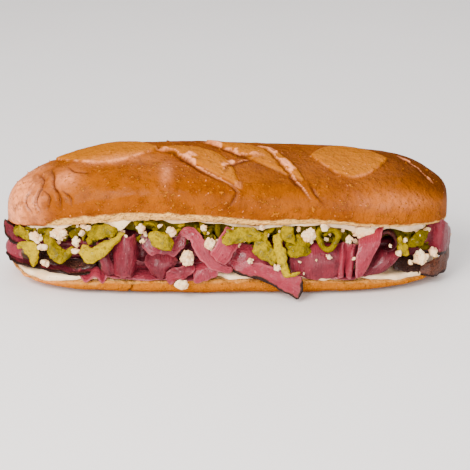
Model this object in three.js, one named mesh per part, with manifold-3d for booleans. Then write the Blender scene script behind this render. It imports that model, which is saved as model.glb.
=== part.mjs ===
// A submarine sandwich: a glazed roll cut through its side and filled with folded slices of cured beef,
// pickled yellow peppers, crumbled white cheese and a cream dressing.
// Millimetres. +X runs along the roll, +Z is up and the side that faces -Y is the front.
import * as THREE from "three";
import { mergeVertices } from "three/addons/utils/BufferGeometryUtils.js";
import Module from "manifold-3d";

const wasm = await Module();
wasm.setup();

// The roll, as seen from above. Each end has its own length from the middle and its own bluntness.
const HALF_WIDTH = 40;
const LID_PLAN = { left: { length: 119, taper: 2.8 }, right: { length: 118.5, taper: 6 } };
const BASE_PLAN = { left: { length: 118, taper: 5 }, right: { length: 117, taper: 4 } };
const HEAP_PLAN = { left: { length: 119.6, taper: 2.9 }, right: { length: 119.6, taper: 4.2 } };
const EDGE_SHARE = 0.95; // where the heap's edge lies, as a share of the half width

// The lower half. Heights are counted from a table that lies FOOT_LEVEL under the roll.
const FOOT_LEVEL = 4.2;
const BASE_CUT = 13.5; // height of the cut face at mid length
const BASE_CUT_DROOP = 4.5; // how far that face sinks towards both ends
const BASE_FOOT = 0.7; // width of the flat foot, as a share of the half's
const BASE_BELLY = 0.6; // height of the widest line, as a share of the thickness
const BASE_CURL = { at: -120, reach: 9, lift: 5 }; // the left end turns up
const BASE_LIFT = { left: 6.3, right: 5, power: 4 }; // how far the foot rises at the ends

// The upper half
const LID_CUT = 46; // height of the cut face at mid length
const LID_DROOP = { left: 11.5, right: 9, power: 2.2 }; // how far that face sinks at the ends
const LID_WAVES = [
  { at: -55, reach: 28, lift: 5 },
  { at: 15, reach: 22, lift: -2 },
  { at: 104, reach: 14, lift: 1.5 },
];
const CROWN_LEVEL = { left: 37.7, middle: 46, right: 41.4 }; // heights that the crown rises from
const LID_RISE = 28.5; // height of the crown above that, at mid length
const LID_RISE_TILT = -0.029; // how much less it is for each millimetre to the right
const CROWN_FULLNESS = { left: 3, right: 4.2 };
const LID_SHOULDER = 0.21; // height of the widest line, as a share of the lid's height
const LID_TUCK = 3; // how far the crust turns in below that line
const DOME_SQUARENESS = 0.9; // under 1 makes the dome fuller than an ellipse

// The filling
const CLEARANCE = 0.35; // gap between neighbours
const MEAT_THICKNESS = 1.5;
const PEPPER_THICKNESS = 2.6;
const DRESSING_THICKNESS = 2.6;
const DRESSING_GAP = 0.6; // between the dressing and the bread
const HEART_INSET = 9; // how far the heap's heart stays inside the bread's edge
const HEART_HALF_LENGTH = 111;
const LAYER_SPLIT = 33.5; // height where the stacked beef ends and the peppers and cheese begin

const COLOURS = {
  crust: { color: 0xd07c1c, roughness: 0.35 },
  beef: { color: 0xb85a60, roughness: 0.42 },
  pepper: { color: 0xc8b41e, roughness: 0.3 },
  cheese: { color: 0xefe3cc, roughness: 0.8 },
  dressing: { color: 0xf2e4cf, roughness: 0.35 },
};
const materials = Object.fromEntries(
  Object.entries(COLOURS).map(([name, look]) => [
    name,
    new THREE.MeshStandardMaterial({ ...look, metalness: 0 }),
  ]),
);

const sandwich = new THREE.Group();
sandwich.name = "submarine_sandwich";

// A repeatable random number from 0 to 1 for each whole seed
function draw(seed) {
  const x = Math.sin(seed * 127.1 + 311.7) * 43758.5453;
  return x - Math.floor(x);
}

// Outline of the roll
const sideOf = (x) => (x < 0 ? "left" : "right");
const hump = (x, centre, reach) => Math.exp(-(((x - centre) / reach) ** 2));

// How far along its half of a plan a place lies, from 0 at mid length to 1 at the end
const share = (x, plan) => Math.min(Math.abs(x) / plan[sideOf(x)].length, 1);
const fullness = (x, plan) => 1 - share(x, plan) ** plan[sideOf(x)].taper;
const halfWidthAt = (x, plan) => HALF_WIDTH * Math.sqrt(fullness(x, plan));
const edgeAt = (x) => EDGE_SHARE * halfWidthAt(x, HEAP_PLAN);
const curlAt = (x) => BASE_CURL.lift * hump(x, BASE_CURL.at, BASE_CURL.reach);
const baseEdgeAt = (x) => EDGE_SHARE * halfWidthAt(x, BASE_PLAN);
const baseCutAt = (x) => BASE_CUT - BASE_CUT_DROOP * share(x, BASE_PLAN) ** 2 + curlAt(x);

function footAt(x) {
  const lift = BASE_LIFT[sideOf(x)] * share(x, BASE_PLAN) ** BASE_LIFT.power;
  return FOOT_LEVEL + lift + curlAt(x) / 2;
}

function lidCutAt(x) {
  const droop = LID_DROOP[sideOf(x)] * share(x, LID_PLAN) ** LID_DROOP.power;
  const wave = LID_WAVES.reduce((sum, { at, reach, lift }) => sum + lift * hump(x, at, reach), 0);
  return LID_CUT - droop + wave;
}

function crownAt(x) {
  const side = sideOf(x);
  const away = share(x, LID_PLAN) ** LID_DROOP.power;
  const level = THREE.MathUtils.lerp(CROWN_LEVEL.middle, CROWN_LEVEL[side], away);
  const rise = LID_RISE + LID_RISE_TILT * x;
  return level + rise * fullness(x, LID_PLAN) ** (1 / CROWN_FULLNESS[side]);
}

// Scores in the crust, each a leaf between two tips. Places are [along the roll, over the crown from its
// middle line], and the leaf reaches `below` and `above` the line that joins its tips.
const SCORES = [
  { from: [-92, -12], to: [-38, 0], below: 5, above: 24, rise: 1.6 },
  { from: [-38, -2], to: [6, -34], below: 3, above: 14, rise: 1.5 },
  { from: [-12, 7], to: [40, -30], below: 3, above: 12, rise: 1.5 },
  { from: [44, -5], to: [86, -10], below: 18, above: 14, rise: 1.3 },
];
const CROWN_RADIUS = 33; // turns an angle over the dome into a distance over the crown

// How far a point of the crown stands proud, from the leaves that hold it
function scoreRelief(x, over) {
  let height = 0;
  for (const { from, to, below, above, rise } of SCORES) {
    const axis = new THREE.Vector2(to[0] - from[0], to[1] - from[1]);
    const length = axis.length();
    axis.divideScalar(length);
    const offset = new THREE.Vector2(x - from[0], over - from[1]);
    const along = (2 * offset.dot(axis)) / length - 1;
    const across = axis.x * offset.y - axis.y * offset.x;
    const reach = 1 - along * along;
    if (reach <= 0) continue;
    const depth = across < 0 ? -across / (below * reach) : across / (above * reach);
    if (depth < 1) height = Math.max(height, rise * (1 - depth * depth));
  }
  return height;
}

// A closed skin from rings of points, with a pole at each end
function ringedSolid(rings, firstPole, lastPole) {
  const around = rings[0].length;
  const points = [...rings.flat(), firstPole, lastPole];
  const first = points.length - 2;
  const last = points.length - 1;
  const index = [];
  for (let k = 0; k < around; k++) {
    const next = (k + 1) % around;
    index.push(first, next, k);
    const end = (rings.length - 1) * around;
    index.push(last, end + k, end + next);
    for (let r = 0; r < rings.length - 1; r++) {
      const a = r * around + k;
      const b = r * around + next;
      index.push(a, b, b + around, a, b + around, a + around);
    }
  }
  return indexed(points, index);
}

function indexed(points, index) {
  const geometry = new THREE.BufferGeometry().setFromPoints(points);
  return geometry.setIndex(index);
}

// Places along the roll, closer together towards the ends
function stations(count, plan) {
  const END_CROWDING = 1.5;
  const found = [];
  for (let i = 1; i < count; i++) {
    const t = (2 * i) / count - 1;
    const reach = plan[sideOf(t)].length;
    found.push(Math.sign(t) * reach * (1 - (1 - Math.abs(t)) ** END_CROWDING));
  }
  return found;
}

// The upper half: a dome over a shallow tuck, closed by the cut face
function lidGeometry() {
  const RINGS = 45;
  const DOME_STEPS = 18;
  const FACE_STEPS = 2;
  const ring = (x) => {
    const width = halfWidthAt(x, LID_PLAN);
    const cut = lidCutAt(x);
    const rise = crownAt(x) - cut;
    const shoulder = LID_SHOULDER * rise;
    const tuck = LID_TUCK * (width / HALF_WIDTH);
    const points = [];
    for (let k = 0; k <= DOME_STEPS; k++) {
      const angle = (Math.PI * k) / DOME_STEPS;
      const over = CROWN_RADIUS * (angle - Math.PI / 2);
      const proud = scoreRelief(x, over) * (width / HALF_WIDTH);
      const side = Math.cos(angle);
      const up = Math.sin(angle) ** DOME_SQUARENESS;
      const height = cut + shoulder + (rise - shoulder + proud) * up;
      points.push(new THREE.Vector3(x, -(width + proud) * side, height));
    }
    points.push(new THREE.Vector3(x, width - tuck * 0.3, cut + shoulder * 0.4));
    for (let k = 0; k <= FACE_STEPS; k++) {
      const across = 1 - (2 * k) / FACE_STEPS;
      points.push(new THREE.Vector3(x, across * (width - tuck), cut));
    }
    points.push(new THREE.Vector3(x, -(width - tuck * 0.3), cut + shoulder * 0.4));
    return points;
  };
  const pole = (x) => new THREE.Vector3(x, 0, (lidCutAt(x) + crownAt(x)) / 2);
  const ends = [-LID_PLAN.left.length, LID_PLAN.right.length];
  return ringedSolid(stations(RINGS, LID_PLAN).map(ring), ...ends.map(pole));
}

// The lower half: a flat foot, a rounded belly and the cut face
function baseGeometry() {
  const RINGS = 26;
  const BELLY_STEPS = 3;
  const LIP_STEPS = 2;
  const FACE_STEPS = 2;
  const FOOT_STEPS = 2;
  const ring = (x) => {
    const width = halfWidthAt(x, BASE_PLAN);
    const low = footAt(x);
    const cut = baseCutAt(x);
    const belly = low + (cut - low) * BASE_BELLY;
    const foot = width * BASE_FOOT;
    const edge = width * EDGE_SHARE;
    const side = [];
    for (let k = 0; k <= BELLY_STEPS; k++) {
      const angle = (Math.PI / 2) * (k / BELLY_STEPS);
      const height = low + (belly - low) * (1 - Math.cos(angle));
      side.push([foot + (width - foot) * Math.sin(angle), height]);
    }
    for (let k = 1; k < LIP_STEPS; k++) {
      const angle = (Math.PI / 2) * (k / LIP_STEPS);
      const height = belly + (cut - belly) * Math.sin(angle);
      side.push([edge + (width - edge) * Math.cos(angle), height]);
    }
    const points = side.map(([y, z]) => new THREE.Vector3(x, y, z));
    for (let k = 0; k <= FACE_STEPS; k++) {
      const across = 1 - (2 * k) / FACE_STEPS;
      points.push(new THREE.Vector3(x, across * edge, cut));
    }
    points.push(...side.reverse().map(([y, z]) => new THREE.Vector3(x, -y, z)));
    for (let k = 1; k < FOOT_STEPS; k++) {
      points.push(new THREE.Vector3(x, ((2 * k) / FOOT_STEPS - 1) * foot, low));
    }
    return points;
  };
  const pole = (x) => new THREE.Vector3(x, 0, (footAt(x) + baseCutAt(x)) / 2);
  const ends = [-BASE_PLAN.left.length, BASE_PLAN.right.length];
  return ringedSolid(stations(RINGS, BASE_PLAN).map(ring), ...ends.map(pole));
}

// A closed solid between two like faces: face(s, t, side) gives a point for s and t from 0 to 1 and for side
// 1 or -1.
function sheetGeometry(lengthSteps, widthSteps, face) {
  const columns = widthSteps + 1;
  const count = (lengthSteps + 1) * columns;
  const points = [];
  for (const side of [1, -1]) {
    for (let i = 0; i <= lengthSteps; i++) {
      for (let j = 0; j <= widthSteps; j++) {
        points.push(face(i / lengthSteps, j / widthSteps, side));
      }
    }
  }
  const index = [];
  const quad = (a, b, c, d) => index.push(a, b, c, a, c, d);
  const at = (i, j) => i * columns + j;
  for (let i = 0; i < lengthSteps; i++) {
    for (let j = 0; j < widthSteps; j++) {
      const [a, b, c, d] = [at(i, j), at(i + 1, j), at(i + 1, j + 1), at(i, j + 1)];
      index.push(a, b, c, a, c, d);
      index.push(a + count, c + count, b + count, a + count, d + count, c + count);
    }
    const [p, q] = [at(i, 0), at(i + 1, 0)];
    quad(p, p + count, q + count, q);
    const [r, s] = [at(i + 1, widthSteps), at(i, widthSteps)];
    quad(r, r + count, s + count, s);
  }
  for (let j = 0; j < widthSteps; j++) {
    const [p, q] = [at(0, j + 1), at(0, j)];
    quad(p, p + count, q + count, q);
    const [r, s] = [at(lengthSteps, j), at(lengthSteps, j + 1)];
    quad(r, r + count, s + count, s);
  }
  return indexed(points, index);
}

// A place in the filling: [along the roll, height, distance in front of the bread's edge]
const place = ([x, z, out]) => new THREE.Vector3(x, -(edgeAt(x) + out), z);

// A value that runs through a list of one to three values as s goes from 0 to 1
function through(values, s) {
  const list = [values].flat();
  if (list.length === 1) return list[0];
  const at = s * (list.length - 1);
  const k = Math.min(Math.floor(at), list.length - 2);
  return THREE.MathUtils.lerp(list[k], list[k + 1], at - k);
}

// A slice or strip swept along a route: `across` is the direction of its width, `cup` bows it towards the
// front and `ruffle` waves its two long edges.
function stripGeometry({ route, across, width, thickness, cup = 0, ruffle = 0, steps, seed = 1 }) {
  const curve = new THREE.CatmullRomCurve3(route.map(place), false, "centripetal");
  const wide = new THREE.Vector3(...across).normalize();
  const RIM_THINNING = 0.35;
  const WAVES = 2.5;
  const phase = 2 * Math.PI * draw(seed);
  const normalAt = (s) => curve.getTangent(s).cross(wide).normalize();
  const lean = [0.1, 0.3, 0.5, 0.7, 0.9].reduce((sum, s) => sum + normalAt(s).y, 0);
  const toFront = lean > 0 ? -1 : 1;
  return sheetGeometry(steps[0], steps[1], (s, t, side) => {
    const k = 2 * t - 1;
    const wave = ruffle * Math.sin(2 * Math.PI * WAVES * s + phase + 1.7 * k) * k * k;
    const bow = cup * (1 / 3 - k * k) + wave;
    const half = (thickness / 2) * (1 - RIM_THINNING * k ** 4);
    return curve
      .getPoint(s)
      .addScaledVector(wide, (through(width, s) * k) / 2)
      .addScaledVector(normalAt(s), toFront * (bow + side * half));
  });
}

const beefStrip = (shape) => stripGeometry({ thickness: MEAT_THICKNESS, steps: [9, 3], ...shape });
const pepperStrip = (shape) => stripGeometry({ thickness: PEPPER_THICKNESS, steps: [7, 2], ...shape });

// A slice rolled into an open tube that points at the front
function rolledGeometry({ at, radius, turn, depth, lean }) {
  const centre = place(at);
  const axis = new THREE.Vector3(...lean).normalize();
  const side = new THREE.Vector3(1, 0, 0).addScaledVector(axis, -axis.x).normalize();
  const up = side.clone().cross(axis).normalize();
  if (up.z < 0) up.negate();
  const STEPS = [12, 3];
  return sheetGeometry(STEPS[0], STEPS[1], (s, t, face) => {
    const angle = THREE.MathUtils.degToRad(turn[0] + (turn[1] - turn[0]) * s);
    const spiral = radius * (1 - 0.12 * s) + (face * MEAT_THICKNESS) / 2;
    return centre
      .clone()
      .addScaledVector(side, spiral * Math.cos(angle))
      .addScaledVector(up, spiral * Math.sin(angle))
      .addScaledVector(axis, depth * t);
  });
}

// A slice of hollow pepper, stood on its edge so that the front looks through it
function ringGeometry({ at, radius, wall, height, lean }) {
  const geometry = merged(new THREE.TorusGeometry(radius, wall, 6, 14));
  geometry.scale(1, 1, height / (2 * wall));
  const facing = new THREE.Vector3(...lean).normalize();
  const turn = new THREE.Quaternion().setFromUnitVectors(new THREE.Vector3(0, 0, 1), facing);
  geometry.applyQuaternion(turn);
  return geometry.translate(...place(at).toArray());
}

// A broken lump of cheese
function lumpGeometry({ at, size, seed }) {
  const geometry = merged(new THREE.IcosahedronGeometry(0.5, 1));
  const corners = geometry.getAttribute("position");
  const LEAST = 0.78;
  for (let i = 0; i < corners.count; i++) {
    const reach = LEAST + (1.12 - LEAST) * draw(seed * 97 + i);
    corners.setXYZ(
      i,
      corners.getX(i) * reach * size[0],
      corners.getY(i) * reach * size[1],
      corners.getZ(i) * reach * size[2],
    );
  }
  return geometry.translate(...place(at).toArray());
}

// A layer of dressing or filling on a stretch of the roll, between two heights that vary over it
function layerGeometry({ reach, steps, halfWidth, low, high }) {
  return sheetGeometry(steps[0], steps[1], (s, t, side) => {
    const x = THREE.MathUtils.lerp(reach[0], reach[1], s);
    const k = 2 * t - 1;
    const y = k * halfWidth(x, Math.sign(k));
    return new THREE.Vector3(x, y, side > 0 ? high(x, k) : low(x, k));
  });
}

const wobble = (x, seed) => Math.sin(x * 0.21 + seed) * 0.6 + Math.sin(x * 0.083 + 2.1 * seed) * 0.4;

// The dressing on the lower half reaches the bread's edge in three places on each side.
function baseDressingGeometry() {
  const shown = (x) => Math.max(hump(x, -90, 24), hump(x, 8, 16), hump(x, 50, 14), hump(x, 90, 22));
  const HIDDEN_INSET = 4;
  const HEAPED = 1.6; // extra thickness where it shows
  const surface = (x) => baseCutAt(x) + DRESSING_GAP;
  return layerGeometry({
    reach: [-116, 112],
    steps: [20, 4],
    halfWidth: (x) => baseEdgeAt(x) + 0.2 - HIDDEN_INSET * (1 - shown(x)) + 0.5 * wobble(x, 1),
    low: surface,
    high: (x, k) => {
      const full = DRESSING_THICKNESS + HEAPED * shown(x) + 0.3 * wobble(x, 4);
      return surface(x) + full * (1 - 0.4 * k ** 6);
    },
  });
}

// The dressing under the lid hangs down in lobes near its edges.
function lidDressingGeometry() {
  const LOBES = [
    { at: -88, reach: 6, drop: 4 },
    { at: -57, reach: 7, drop: 9.5 },
    { at: 70, reach: 10, drop: 4.5 },
    { at: 98, reach: 9, drop: 3 },
  ];
  const lobe = (x) => Math.max(...LOBES.map((l) => l.drop * hump(x, l.at, l.reach)));
  return layerGeometry({
    reach: [-110, 108],
    steps: [22, 4],
    halfWidth: (x) => edgeAt(x) - LID_TUCK - 1 + 0.5 * wobble(x, 2),
    low: (x, k) => lidCutAt(x) - DRESSING_GAP - DRESSING_THICKNESS * (1 - 0.4 * k ** 6) - lobe(x) * k ** 4,
    high: (x) => lidCutAt(x) - DRESSING_GAP,
  });
}

// The heart of the heap: stacked slices below, chopped peppers and cheese above. Both run through the roll.
const heartHalfWidth = (x) => Math.max(5, edgeAt(x) - HEART_INSET);
const beefTopAt = (x) => (LAYER_SPLIT * (lidCutAt(x) + baseCutAt(x))) / (LID_CUT + BASE_CUT);

function beefStackGeometry() {
  return layerGeometry({
    reach: [-HEART_HALF_LENGTH, HEART_HALF_LENGTH],
    steps: [14, 4],
    halfWidth: (x, side) => heartHalfWidth(x) + 1.2 * wobble(x * 2, 3 + side),
    low: (x) => baseCutAt(x) + DRESSING_THICKNESS + 2 * DRESSING_GAP,
    high: (x, k) => beefTopAt(x) + 1.2 * wobble(x * 1.7 + 9 * k, 5),
  });
}

function pepperBedGeometry() {
  return layerGeometry({
    reach: [-HEART_HALF_LENGTH + 2, HEART_HALF_LENGTH - 2],
    steps: [14, 4],
    halfWidth: (x, side) => heartHalfWidth(x) + 1.5 * wobble(x * 2.3, 7 + side),
    low: (x, k) => beefTopAt(x) + 1.2 * wobble(x * 1.7 + 9 * k, 5) + 2 * CLEARANCE,
    high: (x) => lidCutAt(x) - DRESSING_THICKNESS - 2 * DRESSING_GAP,
  });
}

// Slices of beef that show, as strips. Lists of places run along each slice.
const BEEF = {
  beef_long_flap: {
    route: [[-3, 21.5, -4], [9, 20.5, 1.5], [21, 18, 4.5], [31, 14.2, 7], [39.5, 11, 9]],
    across: [0.2, 0.3, 0.93], width: [7, 9, 13], steps: [12, 3],
  },
  beef_square_flap: {
    route: [[4, 39, -4], [-0.5, 33.5, 3.5], [-3, 29.5, 5], [-5.5, 25.5, 5.5]],
    across: [0.75, 0, -0.66], width: 11,
  },
  beef_ribbon: {
    route: [[-23, 40, -4], [-16.5, 36.5, 0], [-11.5, 28.5, 2.5], [-6, 22.5, 3.5], [2, 18.5, 2]],
    across: [0.75, 0.3, 0.6], width: [7, 7.5, 5],
  },
  beef_tongue: {
    route: [[-12, 23.5, -8], [-11.5, 21, 0.5], [-11, 17.5, 3], [-10.5, 14, 4]],
    across: [0.9, 0, 0.42], width: 15,
  },
  beef_mound: {
    route: [[-35, 26, -10], [-35, 26.8, -2], [-35, 21.5, 3.5], [-35, 14.5, 2.5]],
    across: [1, 0, 0.05], width: [13, 18, 8], cup: 3,
  },
  beef_crinkle: {
    route: [[-32, 13.5, 3.5], [-28, 17.5, 4.5], [-23, 19, 3.5], [-17.5, 22.5, 0]],
    across: [-0.6, 0.1, 0.8], width: [5, 8, 6], ruffle: 1.2,
  },
  beef_tall_fold: {
    route: [[-60, 24, -9], [-58.5, 25.5, -1], [-54, 26.5, 3.5], [-49.5, 26, 1], [-47.5, 25, -8]],
    across: [0.05, 0.26, 0.96], width: 22, cup: 1,
  },
  beef_low_fold: {
    route: [[-79, 16.5, -1], [-74, 12, 3], [-69, 15, 3.5], [-65, 11.5, 2.5], [-62.5, 16, -1]],
    across: [0.1, 0.85, 0.5], width: 9,
  },
  beef_brown_fold: {
    route: [[-67, 31, -4], [-65, 24, 1], [-63.5, 18, 2], [-62, 15, 1]],
    across: [0.95, -0.1, -0.2], width: 8, cup: 1.5,
  },
  beef_bowl: {
    route: [[-46, 35, -6], [-40, 31, -2.5], [-30, 29.5, -2], [-21, 36, -5]],
    across: [0, 0.5, 0.86], width: 10,
  },
  beef_dark_layer: {
    route: [[-101, 20, -7], [-91, 18, -7], [-80, 17.5, -6], [-69, 20.5, -7]],
    across: [0, 0.75, 0.66], width: 8,
  },
  beef_purple_layer: {
    route: [[-99, 14.5, -6], [-88, 14, -6], [-79, 14.5, -6], [-69, 15.5, -6]],
    across: [0, 0.95, 0.3], width: 9,
  },
  beef_left_tip: {
    route: [[-120.5, 34, 3], [-117, 31, 2], [-111, 28, -1], [-103, 25, -7]],
    across: [0.4, 0.8, 0.45], width: [4, 9, 9],
  },
  beef_left_end: {
    route: [[-113, 27.5, -1], [-116, 21, 2], [-114, 14.5, 0.5]],
    across: [0.75, -0.65, 0], width: 13, cup: 1.5,
  },
  beef_left_rim: {
    route: [[-119, 19, 3], [-112, 17, 3], [-104, 15.5, 0], [-94, 15, -5]],
    across: [0.3, 0.93, 0.15], width: 8,
  },
  beef_row: {
    route: [[0, 28, -6], [8, 27.5, -2], [17, 26.5, -2], [26, 23.5, -6]],
    across: [0, 0.55, 0.83], width: 11,
  },
  beef_speckled: {
    route: [[45.5, 32, -9], [45.5, 29.5, -2], [46, 22.5, 1.5], [47, 14.5, 1.5]],
    across: [1, 0, 0], width: 27, cup: 1.5,
  },
  beef_pleats: {
    route: [[57.5, 24, -7], [60.5, 24.5, 2], [62, 24, -2], [65, 24, 3.5], [67.5, 24, -6]],
    across: [0.1, 0.15, 0.98], width: 18, steps: [12, 3],
  },
  beef_wedge: {
    route: [[76, 38.5, -5], [74.5, 34, 1.5], [72, 26, 4.5], [69.5, 15.5, 3.5]],
    across: [0.9, 0.2, 0.35], width: [15, 13, 4],
  },
  beef_drape: {
    route: [[84, 27.5, -9], [83.5, 25.5, -1], [81, 20.5, 2], [77, 15, 1]],
    across: [0.95, 0, 0.2], width: 15, cup: 1.5,
  },
  beef_dark_heel: {
    route: [[88, 18.5, -5], [96, 17, -5], [104, 14.5, -4]],
    across: [0, 0.6, 0.8], width: 9,
  },
  beef_right_end: {
    route: [[103, 29, -9], [109, 30.5, -4], [113.5, 31, 2.5], [118, 28, 3], [120.5, 26, 4]],
    across: [0.05, 0.1, 0.99], width: [17, 17, 9], steps: [12, 3],
  },
  beef_bark: {
    route: [[102, 12.5, -3], [109, 13.5, 1], [115.5, 15, 2.5], [120.5, 18, 3]],
    across: [0, 0.2, 0.98], width: [5, 10, 13],
  },
};

// Strips of pickled pepper that show
const PEPPERS = {
  pepper_bright_left: {
    route: [[-111, 25, 1], [-106, 27.5, 4], [-103, 23.5, 4.5], [-102.5, 16.5, 3]],
    across: [0.55, -0.4, 0.6], width: [8, 10, 8], cup: 1,
  },
  pepper_far_left: {
    route: [[-114, 31.5, -1], [-109, 33, 1], [-104.5, 29.5, 0]],
    across: [0, 0.5, 0.8], width: 6, ruffle: 0.8,
  },
  pepper_hook: {
    route: [[-95, 36, -3], [-94, 30.8, 0], [-90, 25.5, 1], [-85.5, 23, 1], [-83, 28, 0]],
    across: [0.7, 0.5, 0.5], width: [6, 8, 7], steps: [9, 2],
  },
  pepper_upper_left: {
    route: [[-73, 36.5, -2], [-65, 39, 0], [-57, 39, -1]],
    across: [0, 0.6, 0.8], width: [6, 8, 7], ruffle: 1,
  },
  pepper_lobe: {
    route: [[-77, 27, 2], [-72, 26.5, 4], [-66, 29, 3], [-60, 33.5, 2], [-54, 37.5, -1]],
    across: [0, 0.4, 0.9], width: [8, 9, 3.5], cup: 1.2, steps: [9, 2],
  },
  pepper_wide: {
    route: [[-35, 41, 1.5], [-34.5, 36.5, 3], [-33.5, 30.5, 3.5]],
    across: [0.95, 0, -0.25], width: [8, 14, 10], cup: 1,
  },
  pepper_long: {
    route: [[-2, 37.5, 3], [7, 38.5, 2.5], [17, 38.5, 0]],
    across: [0.15, 0.4, 0.9], width: [9, 8, 7], ruffle: 1.2, steps: [8, 2],
  },
  pepper_curl: {
    route: [[18, 38.5, -2], [17.5, 33, 1], [21, 28, 2.5], [27, 24, 3.5]],
    across: [0.8, 0.3, 0.5], width: [9, 9, 6], ruffle: 1, steps: [8, 2],
  },
  pepper_strand: {
    route: [[26, 38.5, -2], [27, 31, 2], [29, 24.5, 5], [32, 18.5, 7], [37, 20, 8]],
    across: [0.85, 0.1, 0.5], width: [5.5, 5, 4], steps: [10, 2],
  },
  pepper_sliver: {
    route: [[29, 42, -2], [31.5, 38.5, 0.5], [35.5, 33.5, 2]],
    across: [0.85, 0.1, 0.5], width: [6, 7, 3],
  },
  pepper_right_lobe: {
    route: [[31, 29.5, -1], [37, 32.5, 0.5], [44, 31, -1]],
    across: [0, 0.5, 0.87], width: [9, 11, 9], ruffle: 1,
  },
  pepper_curved_right: {
    route: [[90, 35, -2], [91.5, 30, 1], [96, 23.5, 1.5]],
    across: [0.85, 0.2, 0.45], width: [4, 5, 3],
  },
  pepper_leaf_right: {
    route: [[95, 29.5, -1], [100, 32, 1], [106, 34.5, -1]],
    across: [-0.4, 0.2, 0.9], width: [4, 7, 4],
  },
};

const LUMPS = {
  cheese_under_lid: { at: [-89, 34.5, -3], size: [10, 8, 7], seed: 3 },
  cheese_middle: { at: [-21, 26, 2], size: [7.5, 7, 8.5], seed: 5 },
  cheese_high: { at: [43, 37, -2.5], size: [8, 8, 8], seed: 8 },
  cheese_right: { at: [102.5, 21.5, 1], size: [8, 7, 9], seed: 13 },
  cheese_low: { at: [-24, 12.5, 5.5], size: [8, 5, 5.5], seed: 21 },
  cheese_cream: { at: [71.5, 37.5, -4], size: [14, 6, 8], seed: 34 },
  cheese_by_flap: { at: [-9, 33.5, 1.5], size: [6.5, 6, 7], seed: 55 },
};

// The side that the front hides is dressed in the same way: some of the pieces again, turned half round.
const REPEATED_BEHIND = [
  "beef_long_flap",
  "beef_tall_fold",
  "beef_speckled",
  "beef_wedge",
  "beef_tongue",
  "beef_right_end",
  "pepper_hook",
  "pepper_long",
  "cheese_right",
];

function merged(geometry) {
  geometry.deleteAttribute("normal");
  geometry.deleteAttribute("uv");
  return mergeVertices(geometry, 1e-3);
}

// The solid of a closed geometry, whichever way round its faces were made
function solidOf(geometry) {
  const vertProperties = new Float32Array(geometry.getAttribute("position").array);
  const triVerts = new Uint32Array(geometry.index.array);
  const made = new wasm.Manifold(new wasm.Mesh({ numProp: 3, vertProperties, triVerts }));
  if (made.volume() > 0) return made;
  for (let i = 0; i < triVerts.length; i += 3) {
    [triVerts[i], triVerts[i + 1]] = [triVerts[i + 1], triVerts[i]];
  }
  return new wasm.Manifold(new wasm.Mesh({ numProp: 3, vertProperties, triVerts }));
}

function geometryOf(solid) {
  const mesh = solid.getMesh();
  const geometry = new THREE.BufferGeometry();
  geometry.setAttribute("position", new THREE.BufferAttribute(mesh.vertProperties, 3));
  return geometry.setIndex(new THREE.BufferAttribute(mesh.triVerts, 1));
}

// The same solid with each face moved out by a distance, which cuts its neighbours clear of it
function grown(solid, distance) {
  const SAME_FACE = 0.7; // cosine under which two faces that meet count as two
  const geometry = geometryOf(solid);
  const corners = geometry.getAttribute("position");
  const index = geometry.index.array;
  const normals = Array.from({ length: corners.count }, () => []);
  const [a, b, c] = [new THREE.Vector3(), new THREE.Vector3(), new THREE.Vector3()];
  for (let i = 0; i < index.length; i += 3) {
    a.fromBufferAttribute(corners, index[i]);
    b.fromBufferAttribute(corners, index[i + 1]).sub(a);
    c.fromBufferAttribute(corners, index[i + 2]).sub(a);
    const normal = b.clone().cross(c).normalize();
    for (let k = 0; k < 3; k++) {
      const found = normals[index[i + k]];
      if (found.every((other) => other.dot(normal) < SAME_FACE)) found.push(normal);
    }
  }
  normals.forEach((found, i) => {
    a.fromBufferAttribute(corners, i);
    found.forEach((normal) => a.addScaledVector(normal, distance));
    corners.setXYZ(i, a.x, a.y, a.z);
  });
  return solidOf(geometry);
}

function boxesMeet(a, b) {
  const [p, q] = [a.boundingBox(), b.boundingBox()];
  return [0, 1, 2].every((k) => p.min[k] < q.max[k] && q.min[k] < p.max[k]);
}

// Each piece is cut clear of those placed before it, and keeps its largest part.
const placed = [];
const WHOLE_PIECES = 2; // the bread halves, which keep every facet
const SMOOTHED_AWAY = 0.17; // detail under this is dropped from the rest

function add(name, geometry, material) {
  let solid = solidOf(geometry);
  for (const other of placed) {
    if (boxesMeet(solid, other.room)) solid = solid.subtract(other.room);
  }
  if (placed.length >= WHOLE_PIECES) solid = solid.simplify(SMOOTHED_AWAY);
  const [kept] = solid.decompose().sort((a, b) => b.volume() - a.volume());
  const mesh = new THREE.Mesh(geometryOf(kept), material);
  mesh.name = name;
  sandwich.add(mesh);
  placed.push({ name, room: grown(kept, CLEARANCE) });
}

function addFilling(group, build, material) {
  for (const [name, shape] of Object.entries(group)) {
    add(name, build(shape), material);
  }
}

function addBehind(group, build, material) {
  for (const name of REPEATED_BEHIND.filter((piece) => piece in group)) {
    add(`${name}_behind`, build(group[name]).rotateZ(Math.PI), material);
  }
}

add("bun_base", baseGeometry(), materials.crust);
add("bun_lid", lidGeometry(), materials.crust);
add("dressing_base", baseDressingGeometry(), materials.dressing);
add("dressing_lid", lidDressingGeometry(), materials.dressing);
add("beef_stack", beefStackGeometry(), materials.beef);
add("pepper_bed", pepperBedGeometry(), materials.pepper);

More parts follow.
